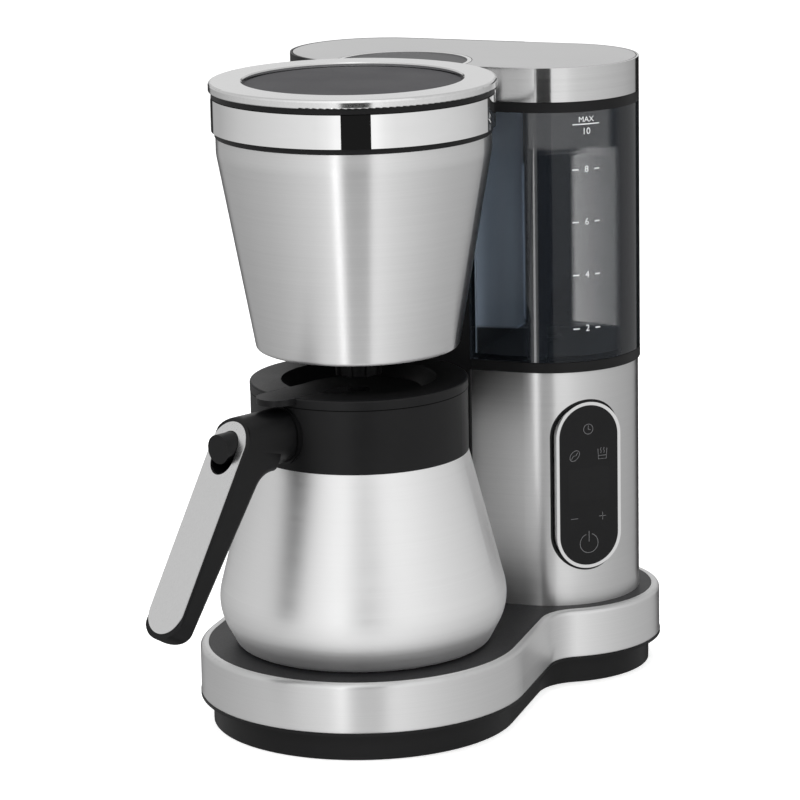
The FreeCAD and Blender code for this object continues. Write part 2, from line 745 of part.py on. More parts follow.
def make_base_pan():
    body = base_slab("base_pan", d.pan_inset, d.skirt_gap, pan_top)[0]
    flange = new_sketch(body, "base_pan_flange", "XY_Plane", d.ring_bottom - d.pan_flange)
    base_outline(flange, -d.pan_flange_proud)
    pad(body, flange, d.pan_flange)
    hollow_base(body, "base_pan", d.pan_inset + d.pan_wall, pan_floor_top, pan_top)
    hollow_base(body, "base_pan_under", d.pan_inset + d.pan_wall, d.skirt_gap, d.foot_height)
    holes = [cylinder("pan_hole%d" % i, x, y, 0, d.screw_radius + d.seam, pan_floor_top)
             for i, (x, y) in enumerate(boss_places())]
    sinks = [cylinder("pan_sink%d" % i, x, y, 0, d.screw_head_radius + d.seam, d.foot_height + d.screw_head)
             for i, (x, y) in enumerate(boss_places())]
    node("base_pan", cut("base_pan", body, *(holes + sinks)))


def make_base_ring():
    body, wall = base_slab("base_ring", 0.0, d.ring_bottom, d.ring_top)
    doc.recompute()
    fillet(body, wall, edges_at_height(wall.Shape, d.ring_top.value), d.ring_round)
    hollow_base(body, "base_ring_wall", d.ring_wall, d.ring_bottom, d.ring_top - d.ring_lip_thick)
    hollow_base(body, "base_ring_lip", d.ring_lip, d.ring_bottom, d.ring_top)
    node("base_ring", body)


def boss_places():
    """Screw bosses under the base plate: two in front, two behind the tower's axis."""
    side = d.boss_spread * 0.8
    ahead = d.boss_spread * 0.6
    behind = tower_y + d.tower_radius * 0.75
    return ((d.brew_x - side, d.brew_y - ahead), (d.brew_x + side, d.brew_y - ahead),
            (tower_left, behind), (tower_right, behind))


def make_base_plate():
    body = base_slab("base_plate", d.ring_lip + d.seam, pan_top, d.ring_top)[0]
    bosses = [cylinder("boss%d" % i, x, y, pan_floor_top, d.boss_radius, pan_top - pan_floor_top)
              for i, (x, y) in enumerate(boss_places())]
    pilots = [cylinder("pilot%d" % i, x, y, pan_floor_top, d.screw_radius + d.run_gap, d.screw_length)
              for i, (x, y) in enumerate(boss_places())]
    half = d.hatch_depth / 2
    hatches = [box("hatch%d" % i, (x - d.hatch_width / 2, tower_y - half, pan_top),
                   (x + d.hatch_width / 2, tower_y + half, d.ring_top))
               for i, x in enumerate((tower_left, d.socket_x))]
    whole = fuse("base_plate_whole", body, *bosses)
    node("base_plate", cut("base_plate", whole, *(hatches + pilots)))


def make_feet_and_screws():
    front = ((d.brew_x - d.foot_spread, d.brew_y), (d.brew_x + d.foot_spread, d.brew_y),
             (d.brew_x, d.brew_y - d.foot_spread))
    places = front + ((tower_left, tower_y), (tower_right, tower_y))
    feet = [cylinder("foot%d" % i, x, y, 0, d.foot_radius, d.foot_height) for i, (x, y) in enumerate(places)]
    node("rubber_feet", group("feet", feet))
    screws = []
    for i, (x, y) in enumerate(boss_places()):
        head = cylinder("head%d" % i, x, y, d.foot_height, d.screw_head_radius, d.screw_head)
        shank = cylinder("shank%d" % i, x, y, d.foot_height, d.screw_radius, d.screw_length)
        screws.append(fuse("screw%d" % i, head, shank))
    node("base_screws", group("screws", screws))


# Tower

def make_column():
    outer = round_end("column_outer", d.split_x, tower_left, d.tower_radius, d.ring_top, d.column_top)
    inner = round_end("column_inner", d.split_x - d.column_wall, tower_left, d.tower_radius - d.column_wall,
                      d.ring_top, d.column_top - d.column_wall)
    spout_hole = along_y("column_spout_hole", d.brew_x, tower_front, d.riser_top,
                         d.hose_radius - d.hose_wall + d.seam, d.column_wall)
    gland_hole = along_y("column_gland_hole", gland_x, tower_back - d.column_wall, d.gland_height,
                         d.gland_neck + d.seam, d.column_wall)
    screw_holes = [along_y("column_screw_hole%d" % i, x, tower_back - d.column_wall, z,
                           d.screw_radius + d.run_gap, d.column_wall)
                   for i, (x, z) in enumerate(cover_screw_places())]
    node("tower_column", cut("tower_column", outer, inner, spout_hole, gland_hole, *screw_holes))


def cover_screw_places():
    margin = d.screw_head_radius * 2
    left, right = cover_left + margin, cover_left + d.cover_width - margin
    low, high = d.cover_bottom + margin, d.cover_top - margin
    return ((left, low), (right, low), (left, high), (right, high))


def make_back_cover():
    plate = box("cover_plate", (cover_left, tower_back, d.cover_bottom),
                (cover_left + d.cover_width, tower_back + d.cover_thick, d.cover_top))
    holes = [along_y("cover_hole%d" % i, x, tower_back, z, d.screw_radius + d.run_gap, d.cover_thick)
             for i, (x, z) in enumerate(cover_screw_places())]
    node("back_cover", cut("back_cover", plate, *holes))
    screws = []
    for i, (x, z) in enumerate(cover_screw_places()):
        outside = tower_back + d.cover_thick
        head = along_y("cover_head%d" % i, x, outside, z, d.screw_head_radius, d.screw_head)
        reach = d.cover_thick + d.column_wall
        shank = along_y("cover_shank%d" % i, x, tower_back - d.column_wall, z, d.screw_radius, reach)
        screws.append(fuse("cover_screw%d" % i, head, shank))
    node("cover_screws", group("cover_screw_set", screws))


def make_cord_gland():
    flange = along_y("gland_flange", gland_x, tower_back, d.gland_height, d.gland_radius, d.cover_thick)
    neck = along_y("gland_sleeve", gland_x, tower_back - d.column_wall, d.gland_height, d.gland_neck,
                   d.column_wall)
    bore = along_y("gland_hole", gland_x, tower_back - d.column_wall, d.gland_height, d.gland_bore,
                   d.column_wall + d.cover_thick)
    node("cord_gland", cut("cord_gland", fuse("gland_whole", flange, neck), bore))


def panel_prism(name, half_width, height, front, depth):
    """An upright slot-shaped block that faces the panel's way; front is its reach from the tower's end."""
    body = new_body(name + "_body")
    sketch = new_sketch(body, name + "_face", "XZ_Plane", front - depth)
    capsule(sketch, half_width, height)
    pad(body, sketch, depth)
    return place(body, tower_right, tower_y, d.panel_middle, d.panel_angle)


def make_lower_housing():
    low = d.ring_top
    liner_radius = shell_radius - d.shell_wall
    gap = d.panel_gap
    depth = d.panel_reach / 2
    width, height = d.panel_half_width, d.panel_height
    window = panel_prism("shell_window", width + gap, height + gap * 2, d.panel_reach, depth)
    seat = panel_prism("liner_window", width, height, d.panel_reach, depth)
    steel = round_end("shell_outer", tank_left, tower_right, shell_radius, low, d.shell_top)
    steel_in = round_end("shell_inner", tank_left, tower_right, liner_radius, low, d.shell_top)
    node("tower_shell", cut("tower_shell", steel, steel_in, window))
    liner = round_end("liner_outer", tank_left, tower_right, liner_radius, low, d.shell_top)
    liner_in = round_end("liner_inner", tank_left, tower_right, liner_radius - d.liner_wall, low, d.shell_top)
    node("lower_liner", cut("lower_liner", liner, liner_in, seat))


def make_tank_seat():
    deck = round_end("seat_outer", tank_left, tower_right, d.tower_radius, d.shell_top, d.seat_top)
    well = round_end("seat_well", tank_left + d.seat_wall, tower_right, d.tower_radius - d.seat_wall,
                     d.shell_top + d.seat_deck, d.seat_top)
    hole = cylinder("seat_hole", d.socket_x, tower_y, d.shell_top, d.socket_bore, d.seat_deck)
    node("tank_seat", cut("tank_seat", deck, well, hole))
    low = d.shell_top - d.socket_depth
    cup = cylinder("socket_cup", d.socket_x, tower_y, low, d.socket_radius, d.socket_depth)
    bore = cylinder("socket_hollow", d.socket_x, tower_y, low + d.seat_deck, d.socket_bore, d.socket_depth)
    spigot = d.hose_radius - d.hose_wall
    nipple = cylinder("socket_nipple", d.socket_x, tower_y, low - d.nipple_length, spigot, d.nipple_length)
    outlet = cylinder("socket_outlet", d.socket_x, tower_y, low - d.nipple_length, spigot - d.spout_wall,
                      d.nipple_length + d.seat_deck)
    node("tank_socket", cut("tank_socket", fuse("socket_whole", cup, nipple), bore, outlet))


def make_panel():
    width, height = d.panel_half_width, d.panel_height
    glass_width, glass_height = width - d.bezel_width, height - d.bezel_width * 2
    ring = panel_prism("bezel_outer", width, height, d.panel_reach, d.bezel_depth)
    hole = panel_prism("bezel_hole", glass_width, glass_height, d.panel_reach, d.bezel_depth)
    node("panel_bezel", cut("panel_bezel", ring, hole))
    glass_front = d.panel_reach - d.glass_sink
    node("panel_glass", panel_prism("panel_glass", glass_width - d.run_gap, glass_height - d.run_gap * 2,
                                    glass_front, d.glass_thick))
    tray_front = glass_front - d.glass_thick
    tray = panel_prism("tray_outer", glass_width, glass_height, tray_front, d.housing_depth)
    hollow = panel_prism("tray_hollow", glass_width - d.housing_wall, glass_height - d.housing_wall * 2,
                         tray_front, d.housing_depth - d.housing_wall)
    node("panel_housing", cut("panel_housing", tray, hollow))
    board_back = d.housing_depth - d.housing_wall - d.board_thick
    board = panel_block("board", d.board_half_width, d.board_height, tray_front - board_back, d.board_thick)
    display = panel_block("display", d.display_half_width, d.display_height,
                          tray_front - board_back + d.display_thick, d.display_thick)
    node("control_board", fuse("control_board_whole", board, display))


def panel_block(name, half_width, height, front, depth):
    body = new_body(name + "_body")
    sketch = new_sketch(body, name + "_face", "XZ_Plane", front - depth)
    half = as_size(height) / 2
    loop(sketch, ((-half_width, -half), (half_width, -half), (half_width, half), (-half_width, half)))
    pad(body, sketch, depth)
    return place(body, tower_right, tower_y, d.panel_middle, d.panel_angle)


def make_power_board():
    left = d.split_x
    half = d.power_board_width / 2
    top = d.power_board_bottom + d.power_board_height
    board = box("power_plate", (left, tower_y - half, d.power_board_bottom),
                (left + d.board_thick, tower_y + half, top))
    parts = [along_x("capacitor%d" % i, left + d.board_thick, tower_y + shift, top - d.capacitor_radius * 2,
                     d.capacitor_radius, d.capacitor_height)
             for i, shift in enumerate((-d.capacitor_radius * 1.5, d.capacitor_radius * 1.5))]
    node("power_board", fuse("power_board_whole", board, *parts))


# Water path

def make_heater():
    ring = doc.addObject("Part::Torus", "heater_bend")
    bind(ring, "Radius1", d.heater_radius)
    bind(ring, "Radius2", d.heater_tube)
    ring.Angle3 = 180
    place(ring, d.brew_x, d.brew_y, d.heater_height, yaw=180)
    legs = [along_y("heater_leg%d" % i, d.brew_x + side, d.brew_y, d.heater_height, d.heater_tube,
                    d.heater_leg) for i, side in enumerate((-d.heater_radius, d.heater_radius))]
    heater = node("flow_heater", fuse("heater_whole", ring, *legs))
    clamps = []
    for i, side in enumerate((-d.heater_radius, d.heater_radius)):
        x, y = d.brew_x + side, d.brew_y + d.heater_leg / 2
        saddle = box("saddle%d" % i, (x - d.clamp_half_width, y, pan_floor_top),
                     (x + d.clamp_half_width, y + d.clamp_length, d.heater_height))
        clamps.append(cut("saddle_seat%d" % i, saddle, heater))
    node("heater_clamps", group("clamp_set", clamps))
    sink = d.heater_tube / 4
    disc = cylinder("thermostat_disc", d.brew_x, d.brew_y - d.heater_radius,
                    d.heater_height + d.heater_tube - sink, d.thermostat_radius, d.thermostat_height)
    node("thermostat", cut("thermostat", disc, heater))


def make_hoses():
    leg_end = d.brew_y + d.heater_leg
    right, left = d.brew_x + d.heater_radius, d.brew_x - d.heater_radius
    valve_end = leg_end + d.valve_length
    node("check_valve", along_y("check_valve_body", right, leg_end, d.heater_height, d.valve_radius,
                                d.valve_length))
    hose_top = d.shell_top - d.socket_depth - d.nipple_length + d.hose_grip
    floor = d.heater_height
    inlet = ((right, valve_end, floor), (right, valve_end + d.hose_bend * 2, floor),
             (d.socket_x, tower_y, floor), (d.socket_x, tower_y, hose_top))
    node("inlet_hose", hose("inlet_hose", inlet, d.hose_bend, d.hose_radius, d.hose_wall))
    riser_y = tower_y - d.riser_y
    spout_back = tower_front + d.column_wall
    riser = ((left, leg_end, floor), (left, riser_y, floor), (left, riser_y, d.riser_top),
             (d.brew_x, riser_y, d.riser_top), (d.brew_x, spout_back, d.riser_top))
    node("riser_hose", hose("riser_hose", riser, d.hose_bend, d.hose_radius, d.hose_wall))
    spout_y = d.brew_y + d.lid_hinge_y
    spout_top = d.filter_lid_bottom - d.fit_gap * 4
    spout = ((d.brew_x, spout_back + d.hose_grip, d.riser_top), (d.brew_x, spout_y, d.riser_top),
             (d.brew_x, spout_y, spout_top))
    spigot = d.hose_radius - d.hose_wall
    node("water_spout", hose("water_spout", spout, spigot + d.seam, spigot, d.spout_wall))


# Water tank

def make_tank():
    low = d.seat_top + d.fit_gap
    wall = d.tank_wall
    inner_left = tank_left + wall
    outer = round_end("tank_outer", tank_left, tower_right, d.tower_radius, low, d.tank_top)
    inner = round_end("tank_inner", inner_left, tower_right, d.tower_radius - wall, low + d.tank_floor,
                      d.tank_top)
    play = d.seat_wall + d.fit_gap
    foot = round_end("tank_foot", tank_left + play, tower_right, d.tower_radius - play,
                     d.seat_top - d.tank_plug + d.fit_gap, low)
    recess = grip_recess("tank_grip", 0.0)
    bulge = grip_recess("tank_bulge", wall)
    hollow = cut("tank_hollow", inner, bulge)
    valve_hole = cylinder("tank_valve_hole", d.socket_x, tower_y, d.seat_top - d.tank_plug,
                          d.tank_valve_radius - wall, d.tank_plug + d.tank_floor + d.fit_gap)
    node("water_tank", cut("water_tank", fuse("tank_whole", outer, foot), hollow, recess, valve_hole))
    ring = round_end("collar_outer", tank_left, tower_right, d.tower_radius, d.tank_top, d.column_top)
    mouth = round_end("collar_mouth", tank_left + d.collar_width, tower_right,
                      d.tower_radius - d.collar_width, d.tank_top, d.column_top)
    lugs = []
    for i, x in enumerate(tank_lug_places()):
        strap = box("tank_lug_strap%d" % i, (x, tower_back, d.tank_top),
                    (x + d.tank_lug_width, tank_hinge_y + d.knuckle_radius, d.column_top))
        post = box("tank_lug_post%d" % i, (x, tank_hinge_y - d.knuckle_radius, d.column_top),
                   (x + d.tank_lug_width, tank_hinge_y + d.knuckle_radius, tank_hinge_z))
        eye = along_x("tank_lug_eye%d" % i, x, tank_hinge_y, tank_hinge_z, d.knuckle_radius, d.tank_lug_width)
        lugs.append(fuse("tank_lug%d" % i, strap, post, eye))
    pin_hole = along_x("tank_pin_hole", tank_pin_left, tank_hinge_y, tank_hinge_z, d.pin_radius,
                       tank_pin_length)
    whole = fuse("collar_whole", cut("collar_ring", ring, mouth), *lugs)
    node("tank_collar", cut("tank_collar", whole, pin_hole))
    node("tank_hinge_pin", along_x("tank_pin", tank_pin_left, tank_hinge_y, tank_hinge_z, d.pin_radius,
                                   tank_pin_length))


def grip_recess(name, grow):
    """The block that is taken out of the tank's back, grown by the wall for the inside."""
    body = new_body(name + "_body")
    sketch = new_sketch(body, name + "_face", "XZ_Plane", -(tower_back + d.tank_wall))
    left, right = d.grip_left - grow, d.grip_right + grow
    low, high, bend = d.grip_bottom - grow, d.grip_top + grow, d.grip_round + grow
    right_high = high + d.grip_slant
    loop(sketch, ((left, low, bend), (right, low, bend), (right, right_high, bend), (left, high, bend)))
    pad(body, sketch, d.grip_depth + d.tank_wall + grow)
    return body


def tank_lug_places():
    return (tank_pin_left, tank_pin_left + tank_pin_length - d.tank_lug_width)


def make_tank_valve():
    top = d.seat_top + d.fit_gap + d.tank_floor
    low = d.seat_top - d.tank_plug + d.fit_gap
    hole = d.tank_valve_radius - d.tank_wall
    sleeve = cylinder("valve_sleeve", d.socket_x, tower_y, low - d.tank_valve_drop, hole,
                      top - low + d.tank_valve_drop)
    flange = cylinder("valve_flange", d.socket_x, tower_y, top, d.tank_valve_radius, d.plunger_disc)
    bore = cylinder("valve_bore", d.socket_x, tower_y, low - d.tank_valve_drop, d.tank_valve_bore,
                    top - low + d.tank_valve_drop + d.plunger_disc)
    node("tank_valve", cut("tank_valve", fuse("valve_whole", sleeve, flange), bore))
    stem_low = low - d.tank_valve_drop + d.fit_gap
    disc_low = top + d.plunger_disc + d.fit_gap
    stem = cylinder("plunger_rod", d.socket_x, tower_y, stem_low, d.plunger_stem, disc_low - stem_low)
    disc = cylinder("plunger_cap", d.socket_x, tower_y, disc_low, d.plunger_radius, d.plunger_disc)
    node("tank_plunger", fuse("plunger_whole", stem, disc))


# Tank lid

def make_tank_lid():
    wall, plate = d.frame_wall, d.top_plate_thick
    inside = d.tower_radius - d.band_wall
    deck_top = d.lid_top - plate
    low = d.band_bottom
    core = stadium("frame_core", inside, low, deck_top)
    hollow = stadium("frame_hollow", inside - wall, low, deck_top - wall)
    rim = round_end("frame_rim", d.split_x, tower_left, d.tower_radius, low, d.lid_top)
    rim_hole = round_end("frame_rim_hole", d.split_x, tower_left, inside, low, d.lid_top)
    tab = box("frame_tab", (tank_knuckle_left, tower_back, tank_hinge_z - d.knuckle_radius / 2),
              (tank_knuckle_left + d.tank_knuckle, tank_hinge_y, tank_hinge_z + d.knuckle_radius))
    eye = along_x("frame_eye", tank_knuckle_left, tank_hinge_y, tank_hinge_z, d.knuckle_radius,
                  d.tank_knuckle)
    eye_hole = along_x("frame_eye_hole", tank_knuckle_left, tank_hinge_y, tank_hinge_z,
                       d.pin_radius + d.run_gap, d.tank_knuckle)
    band = round_end("band_outer", d.split_x, tower_right, d.tower_radius, low, d.lid_top)
    band_hole = round_end("band_hole", d.split_x, tower_right, inside, low, d.lid_top)
    knuckle = cut("frame_knuckle", fuse("frame_hinge", tab, eye), eye_hole)
    bridge = box("frame_bridge",
                 (tank_knuckle_left, tower_back - d.band_wall * 2, tank_hinge_z - d.knuckle_radius / 2),
                 (tank_knuckle_left + d.tank_knuckle, tower_back, tank_hinge_z + d.knuckle_radius))
    shell = cut("frame_shell", core, hollow)
    edge = cut("frame_edge", rim, rim_hole)
    node("lid_frame", fuse("frame_whole", shell, edge, knuckle, bridge))
    node("lid_band", cut("lid_band", band, band_hole, bridge))
    inlay_x, inlay_y = d.brew_x + d.inlay_x, d.brew_y + d.inlay_y
    slab = stadium("plate_slab", inside - d.plate_seam, deck_top, d.lid_top)
    opening = cylinder("plate_opening", inlay_x, inlay_y, deck_top, d.inlay_radius + d.seam * 2, plate)
    node("top_plate", cut("top_plate", slab, opening))
    disc = cylinder("inlay_disc", inlay_x, inlay_y, deck_top, d.inlay_radius, plate)
    inner = d.inlay_radius - d.inlay_rim_width
    eye_of_rim = cylinder("inlay_eye", inlay_x, inlay_y, deck_top, inner, plate)
    field = stadium("inlay_field", inside - d.plate_seam, deck_top, d.lid_top)
    node("inlay_rim", common("inlay_rim_part", cut("inlay_ring", disc, eye_of_rim), field))
    low_disc = cylinder("inlay_low", inlay_x, inlay_y, deck_top, inner, plate - d.inlay_sink)
    node("top_inlay", common("top_inlay_part", low_disc, field))


# Filter lid

def make_filter_lid():
    low, high, edge = d.filter_lid_bottom, d.filter_lid_top, d.filter_lid_round
    inner = d.inset_radius
    node("filter_lid_ring", turned("filter_lid_ring", (
        (inner, low), (d.filter_lid_radius, low, edge / 2), (d.filter_lid_radius, high, edge),
        (inner + d.inset_slope, high), (inner, high - d.inset_slope))))
    face = high - d.inset_sink
    floor = face - d.inset_thick
    groove, deep = inner - d.inset_groove, face - d.inset_groove_depth
    node("filter_lid_inset", turned("filter_lid_inset", (
        (0.0, floor), (inner, floor), (inner, deep), (groove, deep), (groove, face), (0.0, face))))
    bottom = d.band_top + d.fit_gap
    disc = turned("spray_disc", ((0.0, bottom), (d.spray_radius, bottom), (d.spray_radius, low), (0.0, low)))
    centre = cylinder("spray_hole", d.brew_x, d.brew_y, bottom, d.spray_hole_radius * 2, low - bottom)
    holes = [cylinder("spray_hole%d" % i, d.brew_x + d.spray_hole_circle * math.cos(math.radians(60 * i)),
                      d.brew_y + d.spray_hole_circle * math.sin(math.radians(60 * i)), bottom,
                      d.spray_hole_radius, low - bottom) for i in range(6)]
    node("spray_plate", cut("spray_plate", disc, centre, *holes))


def make_lid_hinge():
    y, z, half = d.brew_y + d.lid_hinge_y, d.lid_hinge_z, d.lid_knuckle_half
    knuckle, pin = d.lid_knuckle_radius, d.lid_pin_radius
    left = d.brew_x - half
    eye = along_x("lid_eye", left, y, z, knuckle, half * 2)
    tab = box("lid_tab", (left, d.brew_y + d.inset_radius, z - pin),
              (left + half * 2, y, z + pin))
    disc = cylinder("lid_tab_edge", d.brew_x, d.brew_y, z - knuckle, d.filter_lid_radius,
                    knuckle * 2)
    hole = along_x("lid_eye_hole", left, y, z, pin + d.run_gap, half * 2)
    node("lid_hinge_arm", cut("lid_hinge_arm", fuse("lid_arm_whole", eye, tab), disc, hole))
    lugs = []
    front = y - knuckle
    back = tower_front - d.fit_gap
    for i, x in enumerate((left - d.fit_gap - d.lid_lug_width, left + half * 2 + d.fit_gap)):
        far = x + d.lid_lug_width
        foot = box("lid_lug_foot%d" % i, (x, front, d.lug_foot), (far, tower_front, d.column_top))
        post = box("lid_lug_post%d" % i, (x, front, d.column_top), (far, back, z))
        crown = along_x("lid_lug_eye%d" % i, x, y, z, knuckle, d.lid_lug_width)
        lugs.append(fuse("lid_lug%d" % i, foot, post, crown))
    pin_left = left - d.fit_gap - d.lid_lug_width
    pin_length = half * 2 + (d.fit_gap + d.lid_lug_width) * 2
    web = box("lid_lug_web", (pin_left, tower_front - d.lug_web, d.lug_foot + d.lid_lug_width),
              (pin_left + pin_length, tower_front, d.column_top))
    bore = along_x("lid_pin_hole", pin_left, y, z, pin, pin_length)
    node("filter_hinge_bracket", cut("filter_hinge_bracket", fuse("lid_lugs", web, *lugs), bore))
    node("filter_hinge_pin", along_x("lid_pin", pin_left, y, z, pin, pin_length))


# Swing filter

def cone_radius(height):
    """Outer radius of the steel cone at a height below its knee."""
    share = (as_size(height) - d.cone_foot) / (d.cone_knee - d.cone_foot)
    return d.cone_foot_radius + (d.cone_top_radius - d.cone_foot_radius) * share


def make_filter():
    wall = d.filter_wall
    node("filter_band", turned("filter_band", (
        (d.band_radius - wall, d.band_low), (d.band_radius, d.band_low),
        (d.band_radius, d.band_top), (d.band_radius - wall, d.band_top))))
    lip = d.cone_foot_radius - d.cone_round * 2
    low = d.cone_foot + wall
    bend = d.cone_knee_round
    node("filter_cone", turned("filter_cone", (
        (lip, d.cone_foot), (d.cone_foot_radius, d.cone_foot, d.cone_round),
        (d.cone_top_radius, d.cone_knee, bend), (d.cone_top_radius, d.cone_top),
        (d.cone_top_radius - wall, d.cone_top), (d.cone_top_radius - wall, d.cone_knee, bend + wall),
        (cone_radius(low) - wall, low, d.cone_round - wall), (lip, low))))
    skin = wall + d.run_gap
    inside = skin + d.basket_wall
    foot = low + d.run_gap
    floor = foot + d.basket_floor
    corner = foot + d.cone_round
    upper = d.cone_top_radius - skin
    liner = d.band_radius - wall
    shelf = liner - d.basket_wall
    node("filter_basket", turned("filter_basket", (
        (d.basket_outlet, foot), (cone_radius(foot) - skin - d.cone_round, foot),
        (cone_radius(corner) - skin, corner), (upper, d.cone_knee, bend + skin), (upper, d.cone_top),
        (d.flange_radius, d.cone_top), (d.flange_radius, d.band_low), (liner, d.band_low),
        (liner, d.band_top - wall), (shelf, d.band_top - wall), (shelf, d.band_low),
        (upper - d.basket_wall, d.cone_top), (upper - d.basket_wall, d.cone_knee, bend + inside),
        (cone_radius(floor) - inside, floor), (d.basket_outlet, floor))))


def make_swing():
    x, y = d.brew_x + d.swing_x, d.brew_y + d.swing_y
    ear, gap, lug = d.swing_ear, d.fit_gap, d.swing_lug_height
    low = d.swing_low
    lug_low = low + ear + gap
    top_ear = lug_low + lug + gap
    reach = root(d.swing_x * d.swing_x + d.swing_y * d.swing_y)
    yaw = math.degrees(math.atan2(d.swing_y.value, d.swing_x.value))
    arm = doc.addObject("Part::Box", "swing_arm")
    bind(arm, "Length", reach)
    bind(arm, "Width", d.swing_boss * 2)
    bind(arm, "Height", lug)
    sideways = d.swing_boss / reach
    place(arm, d.brew_x + d.swing_y * sideways, d.brew_y - d.swing_x * sideways, lug_low, yaw)
    boss = cylinder("swing_boss_body", x, y, lug_low, d.swing_boss, lug)
    plug = turned("swing_plug", ((0.0, d.cone_foot), (d.cone_foot_radius, d.cone_foot),
                                 (d.cone_top_radius, d.cone_knee, d.cone_knee_round),
                                 (d.cone_top_radius, d.cone_top), (0.0, d.cone_top)))
    bore = cylinder("swing_bore", x, y, lug_low, d.swing_pin_radius + d.run_gap, lug)
    node("swing_lug", cut("swing_lug", fuse("swing_lug_whole", arm, boss), plug, bore))
    column = round_end("swing_column", d.split_x, tower_left, d.tower_radius, d.ring_top, d.column_top)
    ears = []
    for i, ear_low in enumerate((low, top_ear)):
        tongue = box("swing_ear_block%d" % i, (x - d.swing_boss, y, ear_low),
                     (x + d.swing_boss, tower_y, ear_low + ear))
        tip = cylinder("swing_ear_tip%d" % i, x, y, ear_low, d.swing_boss, ear)
        ears.append(fuse("swing_ear%d" % i, tongue, tip))
    back = box("swing_back", (x - d.swing_boss, y + d.swing_boss + gap * 2, low),
               (x + d.swing_boss, tower_y, top_ear + ear))
    pin_hole = cylinder("swing_pin_hole", x, y, low, d.swing_pin_radius, top_ear + ear - low)
    node("swing_bracket", cut("swing_bracket", fuse("swing_ears", back, *ears), column, pin_hole))
    node("swing_pin", cylinder("swing_pin_rod", x, y, low, d.swing_pin_radius, top_ear + ear - low))


def make_drip_stop():
    floor = d.cone_foot + d.filter_wall + d.run_gap + d.basket_floor
    x, y = d.brew_x, d.brew_y
    nose_height = d.nose_top - d.nose_bottom
    nose = cylinder("drip_nose", x, y, d.nose_bottom, d.nose_radius - d.nose_rib_depth, nose_height)
    ribs = []
    for i in range(8):
        rib = doc.addObject("Part::Box", "drip_rib%d" % i)
        bind(rib, "Length", d.nose_radius)
        bind(rib, "Width", d.nose_rib_width)
        bind(rib, "Height", nose_height)
        angle = math.radians(45 * i)
        aside = d.nose_rib_width / 2
        place(rib, x + aside * math.sin(angle), y - aside * math.cos(angle), d.nose_bottom, yaw=45 * i)
        ribs.append(rib)
    stopper_low = floor + d.seam
    stem = cylinder("drip_stem", x, y, d.nose_top, d.stem_radius, stopper_low - d.nose_top)
    stopper = cylinder("drip_stopper", x, y, stopper_low, d.stopper_radius, d.stopper_thick)
    node("drip_valve", fuse("drip_valve_whole", nose, stem, stopper, *ribs))
    spring_low = stopper_low + d.stopper_thick
    spring_length = d.spring_top - spring_low
    coil = cylinder("spring_coil", x, y, spring_low, d.spring_radius, spring_length)
    core = cylinder("spring_core", x, y, spring_low, d.spring_radius - d.spring_wire, spring_length)
    node("drip_spring", cut("drip_spring", coil, core))
    half = d.bridge_width / 2
    span = cone_radius(d.spring_top) - d.filter_wall - d.run_gap - d.basket_wall
    bar = box("bridge_bar", (x - d.cone_top_radius, y - half, d.spring_top),
              (x + d.cone_top_radius, y + half, d.spring_top + d.bridge_thick))
    high = d.spring_top + d.bridge_thick
    high_span = span + cone_radius(high) - cone_radius(d.spring_top)
    field = cone("bridge_field", x, y, d.spring_top, span, high_span, d.bridge_thick)
    node("spring_bridge", common("spring_bridge_part", bar, field))


# Carafe

def carafe_corners(shrink):
    """Outline of the carafe's wall from foot to neck, moved in by shrink."""
    foot = d.ring_top + d.carafe_lift + shrink
    return ((d.carafe_foot_radius - shrink, foot, d.carafe_foot_round),
            (d.carafe_belly - shrink, d.carafe_belly_height, d.carafe_belly_round),
            (d.carafe_neck_radius - shrink, d.carafe_neck))


def make_carafe():
    wall = d.carafe_wall
    foot = d.ring_top + d.carafe_lift
    outside, inside = carafe_corners(as_size(0)), carafe_corners(wall)
    node("carafe_shell", turned("carafe_shell", (
        ((0.0, foot),) + outside + (tuple(inside[2]), inside[1], inside[0], (0.0, foot + wall)))))
    gap = d.liner_space
    outer, inner = carafe_corners(gap), carafe_corners(gap + wall)
    neck = d.carafe_neck - gap
    bend = d.carafe_foot_round
    node("carafe_liner", turned("carafe_liner", (
        (0.0, foot + gap), outer[0], outer[1], (d.carafe_neck_radius - gap, neck, bend),
        (d.mouth_radius, neck + gap), (d.mouth_radius, d.mouth_top), (d.mouth_radius - wall, d.mouth_top),
        (d.mouth_radius - wall, neck + gap), (d.carafe_neck_radius - gap - wall, neck - wall, bend),
        inner[1], inner[0], (0.0, foot + gap + wall))))
    collar = turned("collar", (
        (d.mouth_radius, d.carafe_neck), (d.collar_radius, d.carafe_neck), (d.collar_radius, d.collar_top),
        (d.mouth_radius, d.collar_top)))
    screws = group("handle_screw_set", [handle_screw(i, z) for i, z in enumerate(handle_screw_heights())])
    node("handle_screws", screws)
    node("carafe_collar", cut("carafe_collar", collar, *nodes["handle_screws"].Links))


def handle_point(radius, height):
    """A point on the handle's middle plane, in the machine's frame."""
    return (d.brew_x - radius * sine(d.handle_turn), d.brew_y - radius * cosine(d.handle_turn), height)


def along_handle(target, radius, height, pitch=0.0):
    """Place a piece whose own X axis points out along the handle."""
    x, y, z = handle_point(as_size(radius), as_size(height))
    return place(target, x, y, z, -90 - d.handle_turn, pitch)


def handle_screw_heights():
    middle = (d.arm_top + d.arm_bottom) / 2
    return (middle - d.screw_head_radius * 2, middle + d.screw_head_radius * 2)


def handle_screw(number, height):
    start = d.mouth_radius + d.run_gap
    head = cylinder("arm_head%d" % number, 0, 0, 0, d.screw_head_radius, d.screw_head)
    along_handle(head, start, height, 90)
    shank = cylinder("arm_shank%d" % number, 0, 0, 0, d.screw_radius, d.handle_screw_reach)
    along_handle(shank, start, height, 90)
    return fuse("arm_screw%d" % number, head, shank)


